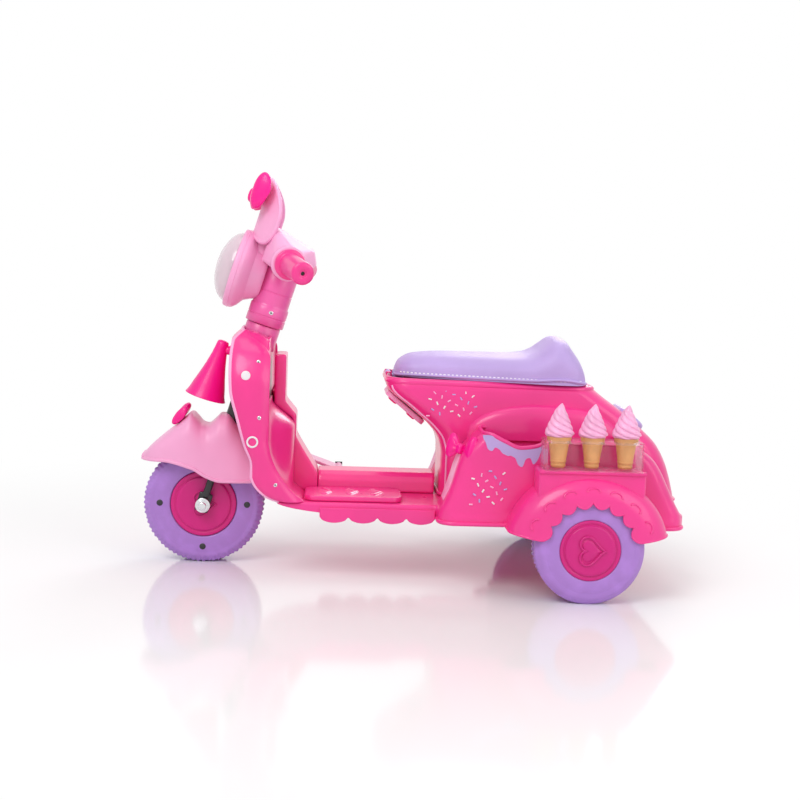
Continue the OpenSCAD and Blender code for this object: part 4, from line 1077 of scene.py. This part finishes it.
POD_LEVELS = [
    (0, 0.193, 1, 0.91), (0.15, 0.193, 0.985, 0.94), (0.29, 0.193, 0.968, 0.96), (0.38, 0.193, 0.953, 0.98),
    (0.51, 0.182, 0.923, 0.99), (0.62, 0.15, 0.88, 1), (0.775, 0.077, 0.807, 1), (0.93, 0.004, 0.721, 0.97),
    (1, 0, 0.687, 0.9),
]
POD_FRONT, POD_BACK, POD_WIDTH = (curve([(row[0], row[k]) for row in POD_LEVELS]) for k in (1, 2, 3))
POD_LOW, POD_HIGH = BOXES["seat_pod"]
POD = POD_HIGH - POD_LOW


def nose_lift(x):
    """How far the pod's rim, and the seat on it, rise towards the nose."""
    return 7 * (1 - (x - POD_LOW.x) / POD.x)


def pod_ring(t, inset):
    """Outline of the pod at a share of its height."""
    x0, x1 = POD_LOW.x + POD_FRONT(t) * POD.x + inset, POD_LOW.x + POD_BACK(t) * POD.x - inset
    half = POD_WIDTH(t) * POD_HIGH.y - inset
    flat = plan_ring(x0, x1, -half, half, 36 - inset, POD_LOW.z + t * POD.z)
    return [(x, y, z + nose_lift(x) * t**4) for x, y, z in flat]


def spread(ring, count, steps=10):
    """Adds points along the four sides of a ring, between its corners."""
    out = []
    for i, (a, b) in enumerate(zip(ring, ring[1:] + ring[:1])):
        parts = count if i % steps == steps - 1 else 1
        out += [Vector(a).lerp(Vector(b), k / parts) for k in range(parts)]
    return out


def sprinkles(name, node, spot, x0, x1, z0, z1, count):
    """Short raised sprinkles scattered over a patch; spot(x, z) gives the surface."""
    looks = ("pale", "white", "lilac")
    paths = []
    for i in range(count):
        x, z = x0 + (x1 - x0) * (0.618 * i % 1), z0 + (z1 - z0) * (i + 0.5) / count
        dx, dz = 2.6 * cos(2.4 * i), 2.6 * sin(2.4 * i)
        paths.append([spot(x - dx, z - dz), spot(x + dx, z + dz)])
    for i, key in enumerate(looks):
        tubes(f"{name}_{key}", paths[i::3], 1.25, node, key)


class BuildPod(bpy.types.Operator):
    """Builds the seat pod, the panel with its buttons and the tail lamp"""

    bl_idname = "tricycle.build_pod"
    bl_label = "Seat pod"

    def execute(self, context):
        levels = [i / 48 for i in range(49)]
        rows = [pod_ring(t, 0) for t in levels] + [pod_ring(t, 6) for t in reversed(levels)]
        shell = grid(rows, close_rows=True, close_columns=True)
        piece("pod_shell", shell, "seat_pod", "body", True, edge=1.6)
        tube("pod_base_bead", pod_ring(0.022, -0.6), 2.6, "seat_pod", "body", True)
        tube("pod_rim_bead", pod_ring(0.968, 3.2), 5, "seat_pod", "body", True)
        for label, side in SIDES:

            def flank(x, z):
                return Vector((x, side * (POD_WIDTH((z - POD_LOW.z) / POD.z) * POD_HIGH.y - 0.3), z))

            def cowl(k, v):
                a = pi * v
                p = flank(203 + 120 * k * cos(a), 220 + 55 * k * abs(sin(a)) ** 0.8)
                return p + Vector((0, side * (15 * (1 - k**4) ** 0.5 - 0.6), 0))

            sprinkles(f"pod_sprinkles_{label}", "seat_pod", flank, 22, 100, 252, 294, 21)
            piece(f"pod_cowl_{label}", grid(surface(24, 60, cowl)), "seat_pod", "body")
        moulded("pod_front_panel", "pale", 0.6)
        for node in ("power_button", "direction_button"):
            moulded(node, "bow", 0.4, 5)
        # Pale beads down the pod's two front corners: painted highlights where the rounded corners catch the
        # light.
        rings = [pod_ring(0.04 + 0.9 * i / 40, 0) for i in range(41)]
        edges = [[Vector(ring[corner]) for ring in rings] for corner in (4, 35)]
        tubes("pod_front_edges", edges, 1.7, "seat_pod", "pale")
        (z0, _, x0, _), (z1, _, x1, _) = POD_LEVELS[5:7]
        slope = atan2((z1 - z0) * POD.z, (x0 - x1) * POD.x)
        place = at(POD_LOW.x + (x0 + x1) / 2 * POD.x, 0, POD_LOW.z + (z0 + z1) / 2 * POD.z) @ spin(slope, "Y")
        steps = ((0, -3), (0, 4), (0.6, 6), (2, 7.6), (4.5, 8.6), (9, 9.2), (14, 9.4))
        rings = [plan_ring(-24 + s, 24 - s, -40 + s, 40 - s, 15 - s / 2, h) for s, h in steps]
        loft("tail_lamp_lens", rings, "tail_lamp", "lilac", True, place)
        moulded("seat_hinge", "body", 0.5, 4)
        dress("seat_pin", "chrome")
        return {"FINISHED"}


# Side tubs, wheel fenders and cones

TUB_LEVELS = [
    (0, 0, 1), (0.14, 0.02, 0.975), (0.37, 0.045, 0.94), (0.6, 0.065, 0.905), (0.75, 0.085, 0.875),
    (0.9, 0.125, 0.825), (1, 0.16, 0.79),
]
TUB_FRONT, TUB_BACK = (curve([(row[0], row[k]) for row in TUB_LEVELS]) for k in (1, 2))
TUB_RIM = curve([
    (0, 0.02), (0.18, 0.03), (0.25, -0.06), (0.315, -0.14), (0.37, -0.12), (0.43, -0.06), (1, -0.06),
])
TUB_TOP = 236.0
ARCH_RADIUS, ARCH_ROUND = 110, 34.0
TRAY_START, TRAY_END = 176, 334
WAFER_HEIGHT, WAFER_RIM = 46, 37


def tub_ring(t, inset, side):
    """Outline of a tub at a share of its height; below 0 it flares into the deck's lip."""
    lo, hi = BOXES["left_tub" if side < 0 else "right_tub"]
    height, length = TUB_TOP - lo.z, hi.x - lo.x
    inset -= 1.6 * ease(-t / 0.1)
    x0, x1 = lo.x + TUB_FRONT(t) * length + inset, lo.x + TUB_BACK(t) * length - inset
    flat = plan_ring(x0, x1, lo.y + inset, hi.y - inset, 22 - inset, 0)
    return [(x, y, lo.z + height * (t + TUB_RIM((x - lo.x) / length) * t**3)) for x, y, _ in spread(flat, 44)]


def arch_bend(r):
    """How far a radius lies past the start of the wheel fender's bend."""
    return max(0.0, r - ARCH_RADIUS + ARCH_ROUND)


def arch_drop(r):
    """How far the fender's face has bent away from its widest plane at a radius."""
    return ARCH_ROUND - sqrt(max(0.0, ARCH_ROUND**2 - arch_bend(r) ** 2))


def arch_point(r, angle, y):
    """Point at a radius and an angle about the rear axle; the arch is longer than it is high."""
    along = r * (1 + 0.09 * arch_bend(r) / ARCH_ROUND)
    return REAR_AXLE.x + along * cos(angle), y, REAR_AXLE.z + r * sin(angle)


def fender_section(low_r, width):
    """Outer outline of a wheel fender: radius from the wheel's axis against distance from the tub."""
    bend, r = ARCH_RADIUS - ARCH_ROUND, ARCH_ROUND
    flat = [(ARCH_RADIUS, (width - r) * k / 8) for k in range(8)]
    angles = [q * pi / 32 for q in range(17)]
    bent = [(bend + r * cos(a), width - r + r * sin(a)) for a in angles]
    return flat + bent + [(bend - (bend - low_r) * k / 6, width) for k in range(1, 7)]


class BuildTubs(bpy.types.Operator):
    """Builds the side tubs, bows, wheel fenders, racks and toy cones"""

    bl_idname = "tricycle.build_tubs"
    bl_label = "Side tubs"

    def wheel_fender(self, label, side):
        node = f"{label}_wheel_fender"
        lo, hi = BOXES[node]
        y0, width = min(abs(lo.y), abs(hi.y)), hi.y - lo.y

        def rows(inset):
            out = []
            for u in (i / 176 for i in range(177)):
                drip = 74.5 - 10.5 * abs(sin(8 * pi * u)) ** 0.6
                row = []
                for r, w in fender_section(drip, width):
                    r -= inset * min(1.0, max(0.0, (r - 80) / 20))
                    row.append(arch_point(r, radians(11 + 158 * u), side * (y0 + min(w, width - inset))))
                out.append(row)
            return out

        skin = rows(0)
        piece(f"arch_shell_{label}", sheet(skin, rows(3)), node, "body", True)
        tube(f"arch_drip_{label}", moved([row[-1] for row in skin], 0, -side * 1.4), 1.7, node, "body")
        ends = [moved(end, 0, -side * 1.2) for end in (skin[0], skin[-1])]
        tubes(f"arch_ends_{label}", ends, 1.8, node, "body")
        for n in range(7):
            arc = []
            for b in (pi * (k / 12 - 0.5) for k in range(13)):
                r, turn = 88 + 5 * cos(b), radians(25 + 130 * n / 6) + 0.1 * sin(b)
                arc.append(arch_point(r, turn, side * (y0 + width - arch_drop(r) + 0.2)))
            tube(f"arch_crescent_{label}_{n + 1}", arc, 1.5, node, "body")
        inner, outer, top = side * (y0 + 3), side * (y0 + width - 15), hi.z
        tray = []
        for i in range(41):
            x = TRAY_START + (TRAY_END - TRAY_START) * i / 40
            base = REAR_AXLE.z + sqrt(101**2 - (x - REAR_AXLE.x) ** 2)
            tray.append([(x, inner, base), (x, outer, base), (x, outer, top), (x, inner, top)])
        rim = [(x, outer, top - 2) for x in (TRAY_START + 1, TRAY_END - 1)]
        tube(f"tray_rim_{label}", rim, 3.2, node, "body")
        loft(f"arch_tray_{label}", tray, node, "body", edge=4)

    def cone(self, node):
        centre = middle(node)
        place = at(centre.x, centre.y, low(node).z)

        def wafer(u, v):
            h, a = WAFER_HEIGHT * u, TURN * v
            ridge = max(abs(cos(7 * a + 0.3 * h)), abs(cos(7 * a - 0.3 * h))) ** 5
            bands = ((1.5, 4.5, 0.8), (7.5, 10, 0.8), (WAFER_RIM, WAFER_HEIGHT, 1.6))
            raised = [rise for start, stop, rise in bands if start < h < stop]
            r = 9.7 + 7 * u + (raised[0] if raised else -0.25 * (1 - ridge))
            return r * cos(a), r * sin(a), h

        def swirl(t, v):
            a, turn = TURN * v, 5 * (1.05 * t**0.9 + v) % 1
            roll = sqrt(max(0.0, 1 - (2 * turn - 1) ** 2))
            r = 23.5 * (1 - t) ** 0.72 * min(1.0, 0.82 + 2.2 * t) * (0.84 + 0.16 * roll)
            return r * cos(a) + 11 * max(0.0, t - 0.8), r * sin(a), WAFER_HEIGHT - 0.4 + 48 * t

        loft("wafer_" + node, surface(56, 112, wafer, True), node, "wafer", True, place)
        loft("swirl_" + node, surface(140, 72, swirl, True), node, "cream", place=place)

    def execute(self, context):
        for label, side in SIDES:
            node, knot = f"{label}_tub", f"{label}_tub_bow"
            lo, hi = BOXES[node]
            length, height = hi.x - lo.x, TUB_TOP - lo.z
            face = side * (max(abs(lo.y), abs(hi.y)) + 0.5)

            def spot(x, z):
                return Vector((x, face, z))

            def wave(v, u):
                x, ends = 98 + 92 * u, sqrt(1 - abs(2 * u - 1) ** 4)
                lobe = 0.5 - 0.5 * tanh(1.7 * cos(8 * pi * u)) / tanh(1.7)
                top = lo.z + height * (1 + TUB_RIM((x - lo.x) / length)) - 1
                bottom = top - 1 - ends * (14 + (9 + 6 * cos(8.2 * u)) * lobe)
                return spot(x, bottom + (top - bottom) * v)

            # The pale strip down each tub's front is a painted highlight: a slightly proud pale sheet where the
            # rounded front face catches the light.
            def panel(u, v):
                t, inset = 0.1 + 0.62 * u, 20 + 8 * abs(2 * u - 1) ** 3
                y = lo.y + inset + (hi.y - lo.y - 2 * inset) * v
                return lo.x + TUB_FRONT(t) * length - 0.7, y, lo.z + t * height

            rows = [tub_ring(i / 40, 0, side) for i in range(-7, 41)]
            rows += [tub_ring(i / 40, 4, side) for i in range(40, 1, -1)]
            loft(f"tub_shell_{label}", rows, node, "body", True)
            tube(f"tub_rim_bead_{label}", tub_ring(1, 1.5, side), 3.2, node, "body", True)
            tube(f"deck_lip_{label}", tub_ring(-0.165, -0.6, side), 3.2, node, "body", True)
            piece(f"tub_wave_{label}", grid(surface(12, 160, wave)), node, "lilac", solid=0.8)
            sprinkles(f"tub_sprinkles_{label}", node, spot, 84, 138, 132, 186, 18)
            # Pale sheet on the tub's front: painted highlight.
            piece(f"tub_panel_{label}", grid(surface(16, 12, panel)), node, "pale", solid=1.2)
            centre = middle(knot)
            place = at(high(knot).x + 3, centre.y + side * 12, centre.z + 3)
            place = place @ spin(-side * 0.6, "Z") @ spin(RAKE, "Y")
            bow(f"tub_ribbon_{label}", knot, 32, 20, 15, place)
            self.wheel_fender(label, side)
            dress(f"{label}_rack", "clear")
            for i in range(3):
                self.cone(f"cone_{label}_{i + 1}")
        return {"FINISHED"}


# Seat

SEAT_WIDTH = curve([
    (0, 0.1), (0.008, 0.34), (0.03, 0.54), (0.1, 0.68), (0.25, 0.77), (0.42, 0.84), (0.6, 0.92), (0.75, 0.98),
    (0.86, 1), (0.93, 0.97), (0.975, 0.86), (0.993, 0.7), (1, 0.4),
])
SEAT_HEIGHT = curve([
    (0, 0.08), (0.008, 0.3), (0.03, 0.6), (0.1, 0.88), (0.25, 1), (0.42, 1.03), (0.6, 1.06),
    (0.68, 1.13), (0.74, 1.32), (0.79, 1.64), (0.83, 1.9), (0.86, 1.96), (0.89, 1.86), (0.93, 1.42),
    (0.97, 0.9), (0.99, 0.5), (1, 0.2),
])
SEAT_START, SEAT_END, SEAT_HALF, SEAT_BASE = -30, 272, 90, 303.4
CUSHION_HEIGHT, HUMP_HEIGHT = 38, 34
SEAT_ROUND = 0.62
STITCH_RISE = 6.5


def seat_point(t, angle, grow=0.0):
    """Point of the seat's skin at a share of its length and an angle round it."""
    w, s = SEAT_WIDTH(t) * SEAT_HALF + grow, SEAT_HEIGHT(t)
    h = min(s, 1) * CUSHION_HEIGHT + max(0, s - 1) * HUMP_HEIGHT + grow
    x = SEAT_START + t * (SEAT_END - SEAT_START)
    z = SEAT_BASE + nose_lift(x) + h * abs(sin(angle)) ** SEAT_ROUND
    return Vector((x, -w * power(cos(angle), SEAT_ROUND), z))


class BuildSeat(bpy.types.Operator):
    """Builds the seat with its piping, stitches and pull tab"""

    bl_idname = "tricycle.build_seat"
    bl_label = "Seat"

    def execute(self, context):
        def skin(u, v):
            return seat_point(0.5 - 0.5 * cos(pi * u), pi * v)

        loft("seat_cushion", surface(100, 60, skin), "seat", "seat", True)
        stations = [i / 160 for i in range(1, 160)]
        edge = [seat_point(t, 0.03, 0.3) for t in stations]
        edge += [seat_point(t, pi - 0.03, 0.3) for t in reversed(stations)]
        tube("seat_piping", edge, 2.4, "seat", "seat", True)
        dashes, dash = [], sizes().stitch / MM
        for _, side in SIDES:
            line = []
            for t in (0.03 + 0.94 * i / 900 for i in range(901)):
                tall = seat_point(t, pi / 2).z - seat_point(t, 0).z
                angle = asin((STITCH_RISE / tall) ** (1 / SEAT_ROUND))
                line.append(seat_point(t, angle if side < 0 else pi - angle, 0.2))
            run, pen = 0.0, []
            for a, b in zip(line, line[1:]):
                run += (b - a).length
                if run % (dash * 1.9) < dash:
                    pen = (pen or [a]) + [b]
                elif pen:
                    dashes.append(pen)
                    pen = []
        tubes("seat_stitches", dashes, 1.35, "seat", "white")
        back = seat_point(0.985, pi / 2)
        tab = plan_ring(-3, 3, -9, 9, 2.5, 0, 6)
        rows = [[(x * k, y * k, z) for x, y, _ in tab] for k, z in ((0.9, -8), (1, -7), (1, 7), (0.9, 8))]
        place = at(back.x - 1.5, 0, back.z - 4) @ spin(-0.35, "Y")
        loft("seat_pull_tab", rows, "seat", "dark", place=place, edge=0.8)
        barrel = [(3.1, -19), (4.4, -19), (5, -18.4), (5, 18.4), (4.4, 19), (3.1, 19)]
        hinge = Vector(joint("seat_lift")["pos_m"]) / MM
        lathe("seat_barrel", barrel, 48, "seat", "seat", place=at(hinge) @ spin(TURN / 4, "X"))
        tongue = [plan_ring(1, 24, -19, 19, 3, z, 5) for z in (-5, -0.2)]
        loft("seat_tongue", tongue, "seat", "seat", place=at(hinge), edge=0.7)
        return {"FINISHED"}


# Stage

FLOOR_REACH = 30
LIGHT_AIM = Vector((0, 0, 0.3))
LIGHTS = (
    ("key_light", (-1.3, -2.0, 2.5), 1.8, 42), ("fill_light", (1.9, -1.7, 1.3), 2.0, 18),
    ("top_light", (0.1, 0.3, 2.7), 1.8, 9), ("rim_light", (0.8, 2.2, 1.6), 1.4, 18),
)
SENSOR, FOCAL_SHARE = 36, 1377 / 800
CAMERA_X, CAMERA_Z = -0.1312, 0.508
CAMERA_TURN, CAMERA_PITCH, CAMERA_ROLL = (radians(angle) for angle in (-2.96, 6.25, 2.0))


class BuildStage(bpy.types.Operator):
    """Builds the pale floor, the studio light and the camera"""

    bl_idname = "tricycle.build_stage"
    bl_label = "Stage"

    def execute(self, context):
        scene = context.scene
        scene.view_settings.view_transform = "Standard"
        world = bpy.data.worlds.new("pale_studio")
        scene.world = world
        world.use_nodes = True
        world.node_tree.nodes.clear()
        sky = Nodes(world.node_tree)
        soft = sky.node("ShaderNodeBackground", {}, {"Color": (1, 0.98, 0.99, 1), "Strength": 0.55})
        white = sky.node("ShaderNodeBackground", {}, {"Color": (1, 1, 1, 1), "Strength": 1.0})
        seen = sky.node("ShaderNodeMixShader", {}, {0: sky.background_rays(), 1: soft, 2: white})
        sky.node("ShaderNodeOutputWorld", {}, {"Surface": seen})

        mesh = bpy.data.meshes.new("studio_floor")
        corners = [(x * FLOOR_REACH, y * FLOOR_REACH, 0) for x, y in ((-1, -1), (1, -1), (1, 1), (-1, 1))]
        mesh.from_pydata(corners, [], [(0, 1, 2, 3)])
        floor = linked("studio_floor", mesh)
        s = Shader("studio_floor_gloss")
        s.set(Base_Color=(0.93, 0.93, 0.93, 1), Roughness=0.1, Specular_IOR_Level=0.4)
        far = s.node("ShaderNodeVectorMath", {"operation": "LENGTH"}, {0: s.place}, "Value").step(0.5, 1.25)
        white_out = s.node("ShaderNodeEmission", {}, {"Color": (1, 1, 1, 1), "Strength": 1.0})
        plain = Socket(s, s.surface.outputs[0])
        both = s.node("ShaderNodeMixShader", {}, {0: far * s.background_rays(), 1: plain, 2: white_out})
        s.tree.links.new(both.out, s.tree.nodes["Material Output"].inputs["Surface"])
        mesh.materials.append(s.material)

        for name, where, size, watts in LIGHTS:
            lamp = bpy.data.lights.new(name, "AREA")
            lamp.shape, lamp.size, lamp.energy = "DISK", size, watts
            stand = linked(name, lamp)
            stand.location = where
            stand.rotation_euler = (LIGHT_AIM - Vector(where)).to_track_quat("-Z", "Y").to_euler()

        camera = bpy.data.cameras.new("photo_camera")
        camera.sensor_width, camera.lens, camera.clip_end = SENSOR, SENSOR * FOCAL_SHARE, 100
        eye = linked("photo_camera", camera)
        eye.location = (CAMERA_X, -sizes().camera_distance, CAMERA_Z)
        turn = spin(CAMERA_TURN, "Z") @ spin(TURN / 4 - CAMERA_PITCH, "X") @ spin(CAMERA_ROLL, "Z")
        eye.rotation_euler = turn.to_euler()
        scene.camera = eye
        return {"FINISHED"}


class TricyclePanel(bpy.types.Panel):
    """Lists the steps of the build and the values that they use"""

    bl_idname = "VIEW3D_PT_tricycle"
    bl_label = "Ice cream tricycle"
    bl_space_type = "VIEW_3D"
    bl_region_type = "UI"
    bl_category = "Tricycle"

    def draw(self, context):
        for group in (context.scene.tricycle_paint, context.scene.tricycle_sizes):
            for key in group.__annotations__:
                self.layout.prop(group, key)
        for step in STEPS:
            self.layout.operator(step.bl_idname)


STEPS = (BuildStage, BuildWheels, BuildSteering, BuildShield, BuildFloor, BuildPod, BuildTubs, BuildSeat)
CLASSES = (TricyclePaint, TricycleSizes, *STEPS, TricyclePanel)


def register():
    for one in CLASSES:
        bpy.utils.register_class(one)
    bpy.types.Scene.tricycle_paint = bpy.props.PointerProperty(type=TricyclePaint)
    bpy.types.Scene.tricycle_sizes = bpy.props.PointerProperty(type=TricycleSizes)


def unregister():
    del bpy.types.Scene.tricycle_sizes
    del bpy.types.Scene.tricycle_paint
    for one in reversed(CLASSES):
        bpy.utils.unregister_class(one)


def main():
    register()
    for step in STEPS:
        group, name = step.bl_idname.split(".")
        getattr(getattr(bpy.ops, group), name)()


if __name__ == "__main__":
    main()
